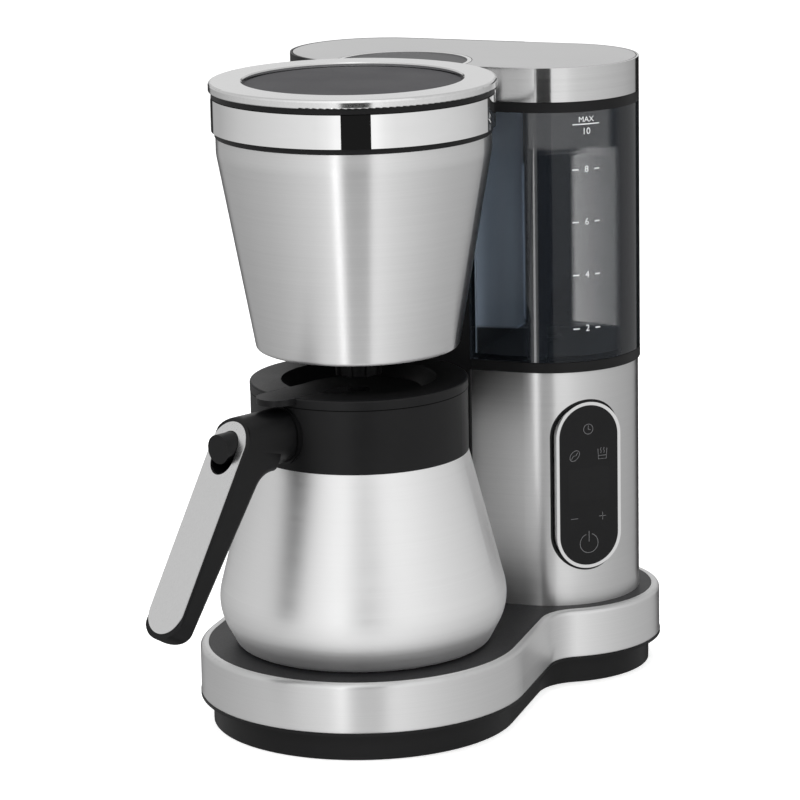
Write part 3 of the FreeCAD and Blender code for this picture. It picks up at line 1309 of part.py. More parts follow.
def make_jug_lid():
    low, high = d.collar_top, d.jug_lid_top
    plug = d.mouth_radius - d.carafe_wall - d.fit_gap
    floor = high - d.funnel_depth
    cap = turned("jug_lid", (
        (d.funnel_hole, low - d.jug_lid_plug), (plug, low - d.jug_lid_plug), (plug, low),
        (d.jug_lid_radius, low), (d.jug_lid_radius, high, d.carafe_wall),
        (d.funnel_radius + d.carafe_wall, high), (d.funnel_radius, high - d.carafe_wall),
        (d.funnel_radius - d.funnel_depth, floor), (d.funnel_hole, floor)))
    half = d.lever_width / 2 + d.fit_gap
    under = high - d.lever_thick - d.fit_gap
    slot = doc.addObject("Part::Box", "lever_slot")
    bind(slot, "Length", d.lever_outer - d.lever_inner + d.fit_gap * 2)
    bind(slot, "Width", half * 2)
    bind(slot, "Height", d.lever_thick * 2)
    lever_frame(slot, d.lever_inner - d.fit_gap, half, under)
    well = doc.addObject("Part::Box", "lever_well_block")
    bind(well, "Length", d.lever_pivot - d.lever_inner + d.fit_gap)
    bind(well, "Width", half * 2)
    bind(well, "Height", d.lever_well)
    lever_frame(well, d.lever_inner - d.fit_gap, half, under - d.lever_well + d.fit_gap)
    pin_z = under + d.lever_thick / 2 + d.fit_gap
    pin_half = half + d.lever_thick
    pin = cross_pin("lever_rod", d.lever_pin_radius, d.lever_pivot, pin_z, pin_half)
    node("lever_pin", pin)
    node("carafe_lid", cut("carafe_lid", cap, slot, well, pin))
    bar = doc.addObject("Part::Box", "lever_bar")
    tab = d.lever_outer - d.lever_width / 2
    bind(bar, "Length", tab - d.lever_inner)
    bind(bar, "Width", d.lever_width)
    bind(bar, "Height", d.lever_thick)
    lever_frame(bar, d.lever_inner, d.lever_width / 2, under + d.fit_gap)
    thumb = cylinder("lever_thumb", 0, 0, 0, d.lever_width / 2, d.lever_thick)
    along_handle(thumb, tab, under + d.fit_gap)
    bore = cross_pin("lever_bore", d.lever_pin_radius + d.run_gap, d.lever_pivot, pin_z, pin_half)
    node("pour_lever", cut("pour_lever", fuse("lever_whole", bar, thumb), bore))


def cross_pin(name, radius, reach, height, half):
    """A pin across the handle's middle plane."""
    turn = d.handle_turn
    x, y, z = handle_point(reach, height)
    return cylinder(name, x - half * cosine(turn), y + half * sine(turn), z, radius, half * 2, -turn, 90)


def lever_frame(target, start, half, height):
    """A block that starts at a radius and runs out along the handle, centred on its middle plane."""
    turn = d.handle_turn
    x, y, z = handle_point(start, height)
    return place(target, x + half * -cosine(turn), y + half * sine(turn), z, -90 - turn)


def grip_face(height):
    """Radius of the grip's outer face at a height."""
    lean = sine(d.handle_tilt) / cosine(d.handle_tilt)
    return d.grip_x + (d.arm_top - height) * lean


def make_handle():
    top = d.arm_top
    lean, rise = sine(d.handle_tilt), cosine(d.handle_tilt)
    foot_x, foot_z = d.grip_x + d.grip_length * lean, top - d.grip_length * rise
    tip_x, tip_z = foot_x - d.grip_foot_depth * rise, foot_z - d.grip_foot_depth * lean
    inner_x = grip_face(d.arm_bottom) - d.grip_top_depth
    root_in = d.collar_radius - d.carafe_wall * 3
    body = new_body("handle_body")
    sketch = new_sketch(body, "handle_side", "XZ_Plane", -(d.handle_width / 2))
    loop(sketch, (
        (root_in, d.arm_bottom), (inner_x, d.arm_bottom, d.grip_bend), (tip_x, tip_z, d.handle_edge * 1.5),
        (foot_x, foot_z, d.handle_edge / 2), (d.grip_x, top, d.handle_edge * 2), (root_in, d.arm_top)))
    side = pad(body, sketch, d.handle_width)
    along_handle(body, 0.0, 0.0)
    doc.recompute()
    fillet(body, side, inner_handle_edges(side.Shape), d.handle_edge)
    bar = new_body("handle_bar_body")
    section = new_sketch(bar, "handle_bar_section", "YZ_Plane", root_in)
    half, bend = d.handle_width / 2, d.arm_round
    loop(section, ((-half, d.arm_bottom, bend), (half, d.arm_bottom, bend), (half, d.arm_top, bend),
                   (-half, d.arm_top, bend)))
    pad(bar, section, d.grip_x - root_in + half)
    along_handle(bar, 0.0, 0.0)
    grip = handle_prism("grip", half, d.grip_length, as_size(0), d.grip_top_depth * 1.2, as_size(0))
    lip = new_body("handle_lip_body")
    lip_section = new_sketch(lip, "handle_lip_section", "YZ_Plane", root_in)
    wide, low, high = half + d.arm_flange, d.arm_bottom - d.arm_flange, d.arm_top + d.arm_flange
    lip_bend = bend + d.arm_flange
    loop(lip_section, ((-wide, low, lip_bend), (wide, low, lip_bend), (wide, high, lip_bend),
                       (-wide, high, lip_bend)))
    pad(lip, lip_section, d.collar_radius - root_in + d.arm_flange)
    along_handle(lip, 0.0, 0.0)
    whole = fuse("handle_whole", common("handle_stem", body, fuse("handle_form", bar, grip)), lip)
    plate = handle_prism("plate", d.plate_width / 2, d.plate_length, d.plate_proud, d.plate_inlay,
                         d.plate_margin)
    slot = knob_slot()
    collar_hole = cylinder("handle_collar_hole", d.brew_x, d.brew_y, d.carafe_neck, d.collar_radius,
                           d.collar_top - d.carafe_neck)
    screws = list(nodes["handle_screws"].Links)
    node("handle_plate", cut("handle_plate", plate, slot))
    node("handle", cut("handle", whole, collar_hole, plate, slot, *screws))
    knob = cylinder("knob_body", 0, 0, 0, d.knob_radius, d.knob_length)
    along_handle(knob, d.knob_front - d.knob_length, d.knob_height, 90)
    node("thumb_knob", knob)


def inner_handle_edges(shape):
    """Names of the side edges that run along the arm's underside and the grip's back."""
    names = []
    half = d.handle_width.value / 2
    for number, edge in enumerate(shape.Edges, start=1):
        span, middle = edge.BoundBox, edge.CenterOfMass
        on_side = span.YLength < 1e-4 and abs(abs(span.YMin) - half) < 1e-4
        behind = middle.x < grip_face(as_size(middle.z)).value - d.grip_foot_depth.value
        if on_side and behind and middle.z < d.arm_bottom.value + 1e-3:
            names.append("Edge%d" % number)
    return names


def handle_prism(name, half_width, length, proud, depth, margin):
    """A slot-shaped block on the grip's outer face, that starts a margin below the grip's top."""
    body = new_body(name + "_body")
    sketch = new_sketch(body, name + "_face", "YZ_Plane", proud - depth)
    capsule(sketch, half_width, length)
    pad(body, sketch, depth)
    fall = (margin + length / 2) * cosine(d.handle_tilt)
    height = d.arm_top - fall
    return along_handle(body, grip_face(height), height, -d.handle_tilt)


def knob_slot():
    """The room that the knob needs over its whole travel."""
    body = new_body("knob_slot_body")
    sketch = new_sketch(body, "knob_slot_face", "YZ_Plane")
    fall = d.knob_travel * cosine(d.handle_tilt)
    capsule(sketch, d.knob_radius + d.knob_play, d.knob_radius * 2 + d.knob_play * 2 + fall)
    pad(body, sketch, d.knob_length * 2)
    return along_handle(body, d.knob_front - d.knob_length - d.knob_play, d.knob_height - fall / 2)


gland_x = tower_left
cover_left = tower_left + (d.split_x - tower_left - d.cover_width) / 2
tank_hinge_y = tower_back + d.hinge_reach
tank_hinge_z = d.band_bottom + d.hinge_rise
tank_knuckle_left = tank_left + d.tank_lug_width + d.fit_gap * 2
tank_pin_left = tank_knuckle_left - d.fit_gap - d.tank_lug_width
tank_pin_length = d.tank_knuckle + (d.fit_gap + d.tank_lug_width) * 2

make_base_pan()
make_base_ring()
make_base_plate()
make_feet_and_screws()
make_column()
make_back_cover()
make_cord_gland()
make_lower_housing()
make_tank_seat()
make_panel()
make_power_board()
make_heater()
make_hoses()
make_tank()
make_tank_valve()
make_tank_lid()
make_filter_lid()
make_lid_hinge()
make_filter()
make_swing()
make_drip_stop()
make_carafe()
make_jug_lid()
make_handle()
doc.recompute()

for item in doc.Objects:
    if "Invalid" in item.State or "Error" in item.State:
        raise RuntimeError("%s did not build: %s" % (item.Name, item.State))
for label, item in nodes.items():
    if item.Shape.isNull() or not item.Shape.isValid() or not item.Shape.Solids:
        raise RuntimeError("%s has no sound solid" % label)

os.makedirs("parts", exist_ok=True)
for label, item in nodes.items():
    item.Shape.exportStep("parts/%s.step" % label)
print(len(nodes), "sub-parts written")
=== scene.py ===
import bpy
import json
import math
from mathutils import Matrix, Vector
from mathutils.bvhtree import BVHTree


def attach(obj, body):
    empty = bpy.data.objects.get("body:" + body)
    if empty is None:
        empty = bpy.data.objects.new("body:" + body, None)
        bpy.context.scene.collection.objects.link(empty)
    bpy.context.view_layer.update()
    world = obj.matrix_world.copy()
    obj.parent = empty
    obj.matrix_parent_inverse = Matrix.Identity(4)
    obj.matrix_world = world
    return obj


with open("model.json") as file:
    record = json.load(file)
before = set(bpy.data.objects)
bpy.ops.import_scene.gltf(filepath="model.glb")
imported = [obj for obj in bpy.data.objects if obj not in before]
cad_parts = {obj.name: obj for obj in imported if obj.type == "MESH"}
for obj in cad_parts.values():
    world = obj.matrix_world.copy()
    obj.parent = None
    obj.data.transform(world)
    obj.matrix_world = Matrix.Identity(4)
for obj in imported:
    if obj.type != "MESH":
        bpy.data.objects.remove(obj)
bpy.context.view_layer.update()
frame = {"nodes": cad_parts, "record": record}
nodes = frame["nodes"]

MM = 0.001
UP = Vector((0.0, 0.0, 1.0))
FULL_CIRCLE = 360.0

# Axes and angles of the part, as its solids have them.
BREW = Vector((-14.1, -27.815, 0.0)) * MM
TOWER_RIGHT = Vector((51.75, 109.085, 0.0)) * MM
TOWER_RADIUS = 51.4 * MM
MARK_ANGLE = math.radians(42.6)
PANEL_ANGLE = math.radians(42.5)

# The camera, and the level directions to its right and away from it.
CAMERA_PLACE = Vector((757.5, -1970.015, 668.5)) * MM
CAMERA_TURN = math.radians(21.05)
CAMERA_PITCH = math.radians(13.138)
CAMERA_ROLL = math.radians(-1.084)
CAMERA_LENS = 174.54
CAMERA_SENSOR = 36.0
CAMERA_NEAR = 0.05
CAMERA_FAR = 200.0
SIDE = Vector((math.cos(CAMERA_TURN), math.sin(CAMERA_TURN), 0.0))
AWAY = Vector((-math.sin(CAMERA_TURN), math.cos(CAMERA_TURN), 0.0))

# The part of a noise's range that tones and roughness are spread over.
NOISE_LOW = 0.3
NOISE_HIGH = 0.7
QUARTER_TURN = 0.25


class Tree:
    """A node tree with short ways to work out values, some of them from one vector."""

    def __init__(self, tree, vector=None):
        self.tree = tree
        self.vector = vector

    def add(self, kind, operation=None):
        node = self.tree.nodes.new("ShaderNode" + kind)
        if operation:
            node.operation = operation
        return node

    def join(self, source, target):
        """Sets a socket to a number, or links an output to it."""
        if isinstance(source, float):
            target.default_value = source
        else:
            self.tree.links.new(source, target)

    def along(self, axis):
        node = self.add("VectorMath", "DOT_PRODUCT")
        node.inputs[1].default_value = axis
        self.join(self.vector, node.inputs[0])
        return node.outputs["Value"]

    def calculate(self, operation, first, second=0.0):
        node = self.add("Math", operation)
        self.join(first, node.inputs[0])
        self.join(second, node.inputs[1])
        return node.outputs["Value"]

    def times(self, product, *factors):
        for factor in factors:
            product = self.calculate("MULTIPLY", product, factor)
        return product

    def span(self, value, low_in, high_in, low=0.0, high=1.0):
        node = self.add("MapRange")
        node.inputs["From Min"].default_value = low_in
        node.inputs["From Max"].default_value = high_in
        self.join(low, node.inputs["To Min"])
        self.join(high, node.inputs["To Max"])
        self.join(value, node.inputs["Value"])
        return node.outputs["Result"]

    def choose(self, mask, off, on):
        return self.span(mask, 0.0, 1.0, off, on)


class Shader(Tree):
    """One material with its main shader, worked out from places on the part."""

    def __init__(self, name):
        self.material = bpy.data.materials.new(name)
        self.material.use_nodes = True
        tree = self.material.node_tree
        super().__init__(tree, tree.nodes.new("ShaderNodeTexCoord").outputs["Object"])
        self.main = tree.nodes["Principled BSDF"]

    def set(self, **values):
        for key, value in values.items():
            self.main.inputs[key.replace("_", " ")].default_value = value
        return self

    def noise(self, stretch, detail, rough):
        mapping = self.add("Mapping")
        mapping.inputs["Scale"].default_value = stretch
        self.join(self.vector, mapping.inputs["Vector"])
        texture = self.add("TexNoise")
        texture.inputs["Scale"].default_value = 1.0
        texture.inputs["Detail"].default_value = detail
        texture.inputs["Roughness"].default_value = rough
        self.join(mapping.outputs["Vector"], texture.inputs["Vector"])
        return texture.outputs["Fac"]

    def blend(self, first, second, share):
        mix = self.add("Mix")
        mix.inputs["Factor"].default_value = share
        self.join(first, mix.inputs["A"])
        self.join(second, mix.inputs["B"])
        return mix.outputs["Result"]

    def spread(self, noise, low, high):
        return self.span(noise, NOISE_LOW, NOISE_HIGH, low, high)

    def tint(self, noise, dark, light):
        ramp = self.add("ValToRGB")
        stops = ((NOISE_LOW, dark), (NOISE_HIGH, light))
        for step, (place, colour) in zip(ramp.color_ramp.elements, stops):
            step.position = place
            step.color = (*colour, 1.0)
        self.join(noise, ramp.inputs["Fac"])
        self.join(ramp.outputs["Color"], self.main.inputs["Base Color"])
        return self

    def axes(self):
        split = self.add("SeparateXYZ")
        self.join(self.vector, split.inputs["Vector"])
        return split.outputs

    def shade(self, red, green, blue):
        node = self.add("CombineXYZ")
        for value, target in zip((red, green, blue), node.inputs):
            self.join(value, target)
        self.join(node.outputs["Vector"], self.main.inputs["Base Color"])

    def roughen(self, noise, low, high):
        self.join(self.spread(noise, low, high), self.main.inputs["Roughness"])
        return self

    def relief(self, height, depth, strength):
        bump = self.add("Bump")
        bump.inputs["Strength"].default_value = strength
        bump.inputs["Distance"].default_value = depth
        self.join(height, bump.inputs["Height"])
        self.join(bump.outputs["Normal"], self.main.inputs["Normal"])
        return self

    def brushed_round(self, amount):
        tangent = self.add("Tangent")
        tangent.direction_type = "RADIAL"
        tangent.axis = "Z"
        self.join(tangent.outputs["Tangent"], self.main.inputs["Tangent"])
        return self.set(Anisotropic=amount, Anisotropic_Rotation=QUARTER_TURN)


def grey(value):
    return (value, value, value)


def scaled(colour, factor):
    return tuple(part * factor for part in colour)


def round_metal(name, level, lines, rough, grain=0.035, depth=0.004 * MM, turn=0.6):
    """Metal with fine lines that run round the upright axis."""
    made = Shader(name).set(Metallic=1.0)
    fine = made.noise((9.0, 9.0, lines), 4.0, 0.7)
    coarse = made.noise((3.0, 3.0, lines * 0.21), 2.0, 0.5)
    cloud = made.noise((14.0, 14.0, 14.0), 2.0, 0.5)
    both = made.blend(fine, coarse, 0.4)
    made.tint(both, grey(level * (1.0 - grain)), grey(level * (1.0 + grain)))
    made.roughen(made.blend(both, cloud, 0.3), rough * 0.86, rough * 1.14)
    made.relief(both, depth, 0.35)
    return made.brushed_round(turn)


def flat_metal(name, level, stretch, rough, grain=0.03, depth=0.003 * MM):
    """Metal with a fine straight or even grain."""
    made = Shader(name).set(Metallic=1.0)
    fine = made.noise(stretch, 4.0, 0.65)
    cloud = made.noise((18.0, 18.0, 18.0), 2.0, 0.5)
    made.tint(fine, grey(level * (1.0 - grain)), grey(level * (1.0 + grain)))
    made.roughen(made.blend(fine, cloud, 0.35), rough * 0.85, rough * 1.15)
    return made.relief(fine, depth, 0.3)


def moulded(name, colour, rough, grain_scale=1500.0, depth=0.012 * MM, change=0.18, level=0.5):
    """Moulded plastic or rubber with a fine grain and slight changes of tone."""
    made = Shader(name).set(Specular_IOR_Level=level)
    grain = made.noise((grain_scale,) * 3, 2.0, 0.5)
    cloud = made.noise((22.0, 22.0, 22.0), 3.0, 0.55)
    made.tint(cloud, scaled(colour, 1.0 - change), scaled(colour, 1.0 + change))
    made.roughen(made.blend(grain, cloud, 0.5), rough * 0.85, rough * 1.15)
    return made.relief(grain, depth, 0.5)


def polished(name, level, rough):
    """Bright metal with a faint haze."""
    made = Shader(name).set(Metallic=1.0)
    haze = made.noise((30.0, 30.0, 120.0), 3.0, 0.6)
    made.tint(haze, grey(level * 0.985), grey(level * 1.015))
    return made.roughen(haze, rough * 0.6, rough * 1.4)


# Zones of the tank in mm: where each starts from its low level, and where it reaches its high one.
TANK_ZONES = {
    "inside": (48.7, 48.0),
    "behind": (80.0, 90.0),
    "flat_right": (54.5, 51.0),
    "flat_back": (66.0, 61.0),
    "end": (122.5, 126.5),
    # Inside the left wall, a pale tone that is painted light, paler towards the back.
    "left_wall": (24.5, 23.5),
    "left_front": (59.0, 61.0),
    "left_back": (147.0, 146.0),
    "left_fade": (85.0, 147.0),
    "left_outside": (21.8, 21.2),
    "foot": (219.0, 217.2),
    "grip_front": (143.0, 145.0),
    "grip_right": (82.5, 81.5),
    "grip_back": (160.5, 160.0),
    "grip_top": (290.0, 288.0),
    # The grip's right half is paler, bluer and partly see-through: painted light; its left half is near
    # black: painted shade.
    "grip_light_left": (52.5, 55.0),
    "grip_light_fade": (55.0, 80.0),
    "grip_shade_right": (52.5, 51.5),
    # Where the strip card's reflection is seen: a glossier, denser strip, a painted highlight zone over
    # a real reflection.
    "front_left": (72.6, 73.6),
    "front_right": (84.2, 83.0),
    "front_depth": (85.0, 80.0),
    "front_top": (312.0, 309.0),
}
# The foot's edge leans as the camera looks down, and the grip's upper edge rises to the right.
FOOT_LINE = UP + AWAY * 0.233
GRIP_LINE = UP - Vector((0.111, 0.0, 0.0))
FOOT_ROUGHNESS = 0.80


def smoked_tank(name):
    """Smoked see-through plastic, dark at its foot and right end; a pale tone inside its left wall and
    on the grip's right half is painted light, and the grip's near-black left half is painted shade.

    Its back, right end, foot and glossy front strip are set along the camera's level directions; the
    front strip, glossier and denser where the strip card's reflection is seen, is a painted highlight
    strip over a real reflection.
    """
    made = Shader(name).set(IOR=1.5, Specular_IOR_Level=0.4)

    def zone(edge, value, low=0.0, high=1.0):
        start, end = TANK_ZONES[edge]
        return made.span(value, start * MM, end * MM, low, high)

    x, y, z = made.axes()
    side = made.along(SIDE)
    depth = made.along(AWAY)
    haze = made.noise((25.0, 25.0, 9.0), 3.0, 0.5)
    out_x = made.calculate("MAXIMUM", made.calculate("SUBTRACT", x, TOWER_RIGHT.x), 0.0)
    out_y = made.calculate("SUBTRACT", y, TOWER_RIGHT.y)
    squares = made.calculate("ADD", made.times(out_x, out_x), made.times(out_y, out_y))
    inside = zone("inside", made.calculate("SQRT", squares))
    behind = zone("behind", depth)
    flat = made.times(zone("flat_right", x), zone("flat_back", y))
    right_end = zone("end", side)
    # The pale tone inside the left wall is painted light, paler towards the back.
    left = made.times(zone("left_wall", x), zone("left_front", y), zone("left_back", y))
    left_outside = zone("left_outside", x)
    inner = made.calculate("MAXIMUM", inside, behind)
    foot = made.times(zone("foot", made.along(FOOT_LINE)), inner)
    below_grip_top = zone("grip_top", made.along(GRIP_LINE))
    grip = made.times(zone("grip_front", y), zone("grip_right", x), zone("grip_back", y), below_grip_top)
    # The grip's right half is paler, bluer and partly see-through: painted light; its left half is near
    # black: painted shade.
    clear = made.times(grip, zone("grip_light_left", x))
    dark = made.times(grip, zone("grip_shade_right", x))
    # A glossier, denser strip laid where the strip card's reflection is seen from the camera: a real
    # reflection, held to a painted highlight strip.
    strip = made.times(zone("front_left", side), zone("front_right", side))
    front = made.times(strip, zone("front_depth", depth), zone("front_top", z))

    cover = made.choose(flat, made.spread(haze, 0.40, 0.44), 0.16)
    tone = made.spread(haze, 0.026, 0.030)
    for mask, cover_there, tone_there in (
        (behind, 0.62, 0.060),
        (right_end, 1.0, 0.009),
        (clear, zone("grip_light_fade", x, 0.32, 0.56), 0.16),
        (dark, 0.98, 0.003),
        (left, 1.0, zone("left_fade", y, 0.46, 0.90)),
        (foot, 1.0, 0.003),
        (front, 0.76, 0.020),
        (left_outside, 0.92, 0.020),
    ):
        cover = made.choose(mask, cover, cover_there)
        tone = made.choose(mask, tone, tone_there)
    made.join(cover, made.main.inputs["Alpha"])
    made.join(front, made.main.inputs["Coat Weight"])
    # The grip's painted light is also bluer.
    red = made.times(tone, made.choose(clear, 0.82, 0.78))
    blue = made.times(tone, made.choose(clear, 1.24, 1.32))
    made.shade(red, tone, blue)
    rough = made.choose(foot, made.spread(haze, 0.025, 0.045), FOOT_ROUGHNESS)
    made.join(rough, made.main.inputs["Roughness"])
    return made


def circuit_board(name):
    """Green board with a grid of lighter tracks."""
    made = Shader(name).set(Coat_Weight=0.4, Coat_Roughness=0.2)
    tracks = made.add("TexBrick")
    tracks.inputs["Scale"].default_value = 260.0
    tracks.inputs["Mortar Size"].default_value = 0.03
    tracks.inputs["Color1"].default_value = (0.010, 0.075, 0.030, 1.0)
    tracks.inputs["Color2"].default_value = (0.014, 0.095, 0.038, 1.0)
    tracks.inputs["Mortar"].default_value = (0.060, 0.190, 0.075, 1.0)
    made.join(made.vector, tracks.inputs["Vector"])
    made.join(tracks.outputs["Color"], made.main.inputs["Base Color"])
    cloud = made.noise((120.0, 120.0, 120.0), 2.0, 0.5)
    return made.roughen(cloud, 0.32, 0.5)


def ink(name, colour):
    """Printed marks, a thin layer with a slight unevenness."""
    made = Shader(name)
    uneven = made.noise((900.0, 900.0, 900.0), 2.0, 0.5)
    made.tint(uneven, scaled(colour, 0.9), colour)
    return made.roughen(uneven, 0.45, 0.65)


steel_cone = round_metal("steel_cone", 0.81, 1500.0, 0.34, turn=0.95)
steel_shell = round_metal("steel_shell", 0.67, 1500.0, 0.33, turn=0.95)
steel_band = round_metal("steel_band", 0.68, 1500.0, 0.12, turn=0.7)
steel_base = round_metal("steel_base", 0.84, 1400.0, 0.42, turn=0.95)
steel_carafe = round_metal("steel_carafe", 0.95, 1900.0, 0.50, 0.02, 0.002 * MM, 0.5)
steel_lid = flat_metal("steel_lid", 0.84, (500.0, 500.0, 500.0), 0.14)
steel_top = flat_metal("steel_top", 0.71, (60.0, 1600.0, 1600.0), 0.34)
steel_bezel = polished("steel_bezel", 0.82, 0.12)
chrome = polished("chrome", 0.93, 0.025)
aluminium = flat_metal("aluminium", 0.80, (1200.0, 1200.0, 70.0), 0.30)
screw_steel = flat_metal("screw_steel", 0.52, (700.0, 700.0, 700.0), 0.32)
cast_aluminium = flat_metal("cast_aluminium", 0.55, (900.0, 900.0, 900.0), 0.5, 0.1, 0.03 * MM)

black = moulded("black_plastic", (0.0068, 0.0068, 0.0072), 0.42, level=0.20)
handle_black = moulded("handle_plastic", (0.0024, 0.0024, 0.0027), 0.36, level=0.26)
plate = moulded("plate_plastic", (0.0110, 0.0110, 0.0122), 0.40, 1100.0, 0.008 * MM, level=0.20)
disc = moulded("disc_plastic", (0.0275, 0.0270, 0.0300), 0.50, 1300.0, 0.008 * MM, 0.06, 0.16)
inlay = moulded("inlay_plastic", (0.0620, 0.0620, 0.0640), 0.50, 1300.0, 0.008 * MM, 0.06, 0.18)
matt_black = moulded("matt_black", (0.0012, 0.0012, 0.0013), 0.65, level=0.03)
gloss = moulded("gloss_black", (0.0040, 0.0040, 0.0044), 0.07, 400.0, 0.0, level=0.25)
grey_plastic = moulded("grey_plastic", (0.16, 0.16, 0.165), 0.45)
white_plastic = moulded("white_plastic", (0.72, 0.72, 0.70), 0.42, 1300.0, 0.008 * MM, 0.03)
rubber = moulded("rubber", (0.0200, 0.0200, 0.0200), 0.72, 900.0, 0.02 * MM)
silicone = moulded("silicone", (0.62, 0.62, 0.59), 0.55, 900.0, 0.01 * MM, 0.04)
tank_clear = smoked_tank("smoked_clear")
board = circuit_board("circuit_board")
mark_white = ink("mark_white", (0.86, 0.87, 0.88))
icon_grey = ink("icon_grey", (0.14, 0.14, 0.145))
display_black = moulded("display_black", (0.0056, 0.0056, 0.0060), 0.09, 400.0, 0.0, level=0.25)

BY_NODE = {
    steel_cone: ["filter_cone"],
    steel_shell: ["tower_shell"],
    steel_band: ["lid_band"],
    steel_base: ["base_ring"],
    steel_carafe: ["carafe_shell", "carafe_liner"],
    steel_lid: ["filter_lid_ring", "inlay_rim"],
    steel_top: ["top_plate"],
    steel_bezel: ["panel_bezel"],
    chrome: ["filter_band"],
    aluminium: ["handle_plate"],
    black: ["lower_liner"],
    handle_black: ["handle", "thumb_knob"],
    disc: ["filter_lid_inset"],
    inlay: ["top_inlay"],
    plate: ["base_plate"],
    gloss: ["panel_glass"],
    tank_clear: ["water_tank"],
    board: ["control_board", "power_board"],
}
BY_SLOT = {
    "brushed_steel": steel_shell,
    "satin_steel": steel_lid,
    "polished_steel": chrome,
    "carafe_steel": steel_carafe,
    "satin_aluminium": aluminium,
    "black_plastic": black,
    "plate_plastic": plate,
    "gloss_black": gloss,
    "smoked_clear": tank_clear,
    "grey_plastic": grey_plastic,
    "white_plastic": white_plastic,
    "rubber": rubber,
    "silicone": silicone,
    "screw_steel": screw_steel,
    "heater_aluminium": cast_aluminium,
    "board": board,
}


def dress(piece, shader):
    """Gives a piece one material."""
    piece.data.materials.clear()
    piece.data.materials.append(shader.material)


for row in frame["record"]["subparts"]:
    dress(nodes[row["node"]], BY_SLOT[row["material_slot"]])
for shader, names in BY_NODE.items():
    for name in names:
        dress(nodes[name], shader)


def round_direction(angle):
    """The level direction at an angle from the front, towards the right."""
    return Vector((math.sin(angle), -math.cos(angle), 0.0))


def surface_of(name):
    """A node's faces, to cast rays at."""
    mesh = nodes[name].data
    corners = [vertex.co for vertex in mesh.vertices]
    faces = [tuple(face.vertices) for face in mesh.polygons]
    return BVHTree.FromPolygons(corners, faces)


TANK_SURFACE = surface_of("water_tank")
GLASS_SURFACE = surface_of("panel_glass")
COLLAR_SURFACE = surface_of("carafe_collar")
COLLAR_TOP = max(vertex.co.z for vertex in nodes["carafe_collar"].data.vertices) / MM
LAYER = 0.06 * MM
# Distances from an axis at which a ray starts clear of the part's surface there.
TOWER_CLEAR = TOWER_RADIUS * 1.6
COLLAR_CLEAR = 120.0 * MM


def laid_on(surface, start, outward):
    """The point one layer outside the surface that a ray inwards from start meets."""
    return surface.ray_cast(start, -outward)[0] + outward * LAYER


def on_tank(across, height):
    """A point of the tank's outside, measured round it from the scale's middle line."""
    outward = round_direction(MARK_ANGLE + across * MM / TOWER_RADIUS)
    start = TOWER_RIGHT + outward * TOWER_CLEAR + UP * (height * MM)
    return laid_on(TANK_SURFACE, start, outward)


def on_panel(across, height):
    """A point of the panel's glass, measured from its middle line."""
    outward = round_direction(PANEL_ANGLE)
    along = Vector((math.cos(PANEL_ANGLE), math.sin(PANEL_ANGLE), 0.0))
    start = TOWER_RIGHT + outward * TOWER_CLEAR + along * (across * MM) + UP * (height * MM)
    return laid_on(GLASS_SURFACE, start, outward)


def on_collar(degrees, height):
    """A point of the carafe collar's outside, measured round the brew axis."""
    outward = round_direction(math.radians(degrees))
    start = BREW + outward * COLLAR_CLEAR + UP * (height * MM)
    return laid_on(COLLAR_SURFACE, start, outward)


ARC_STEPS = 40


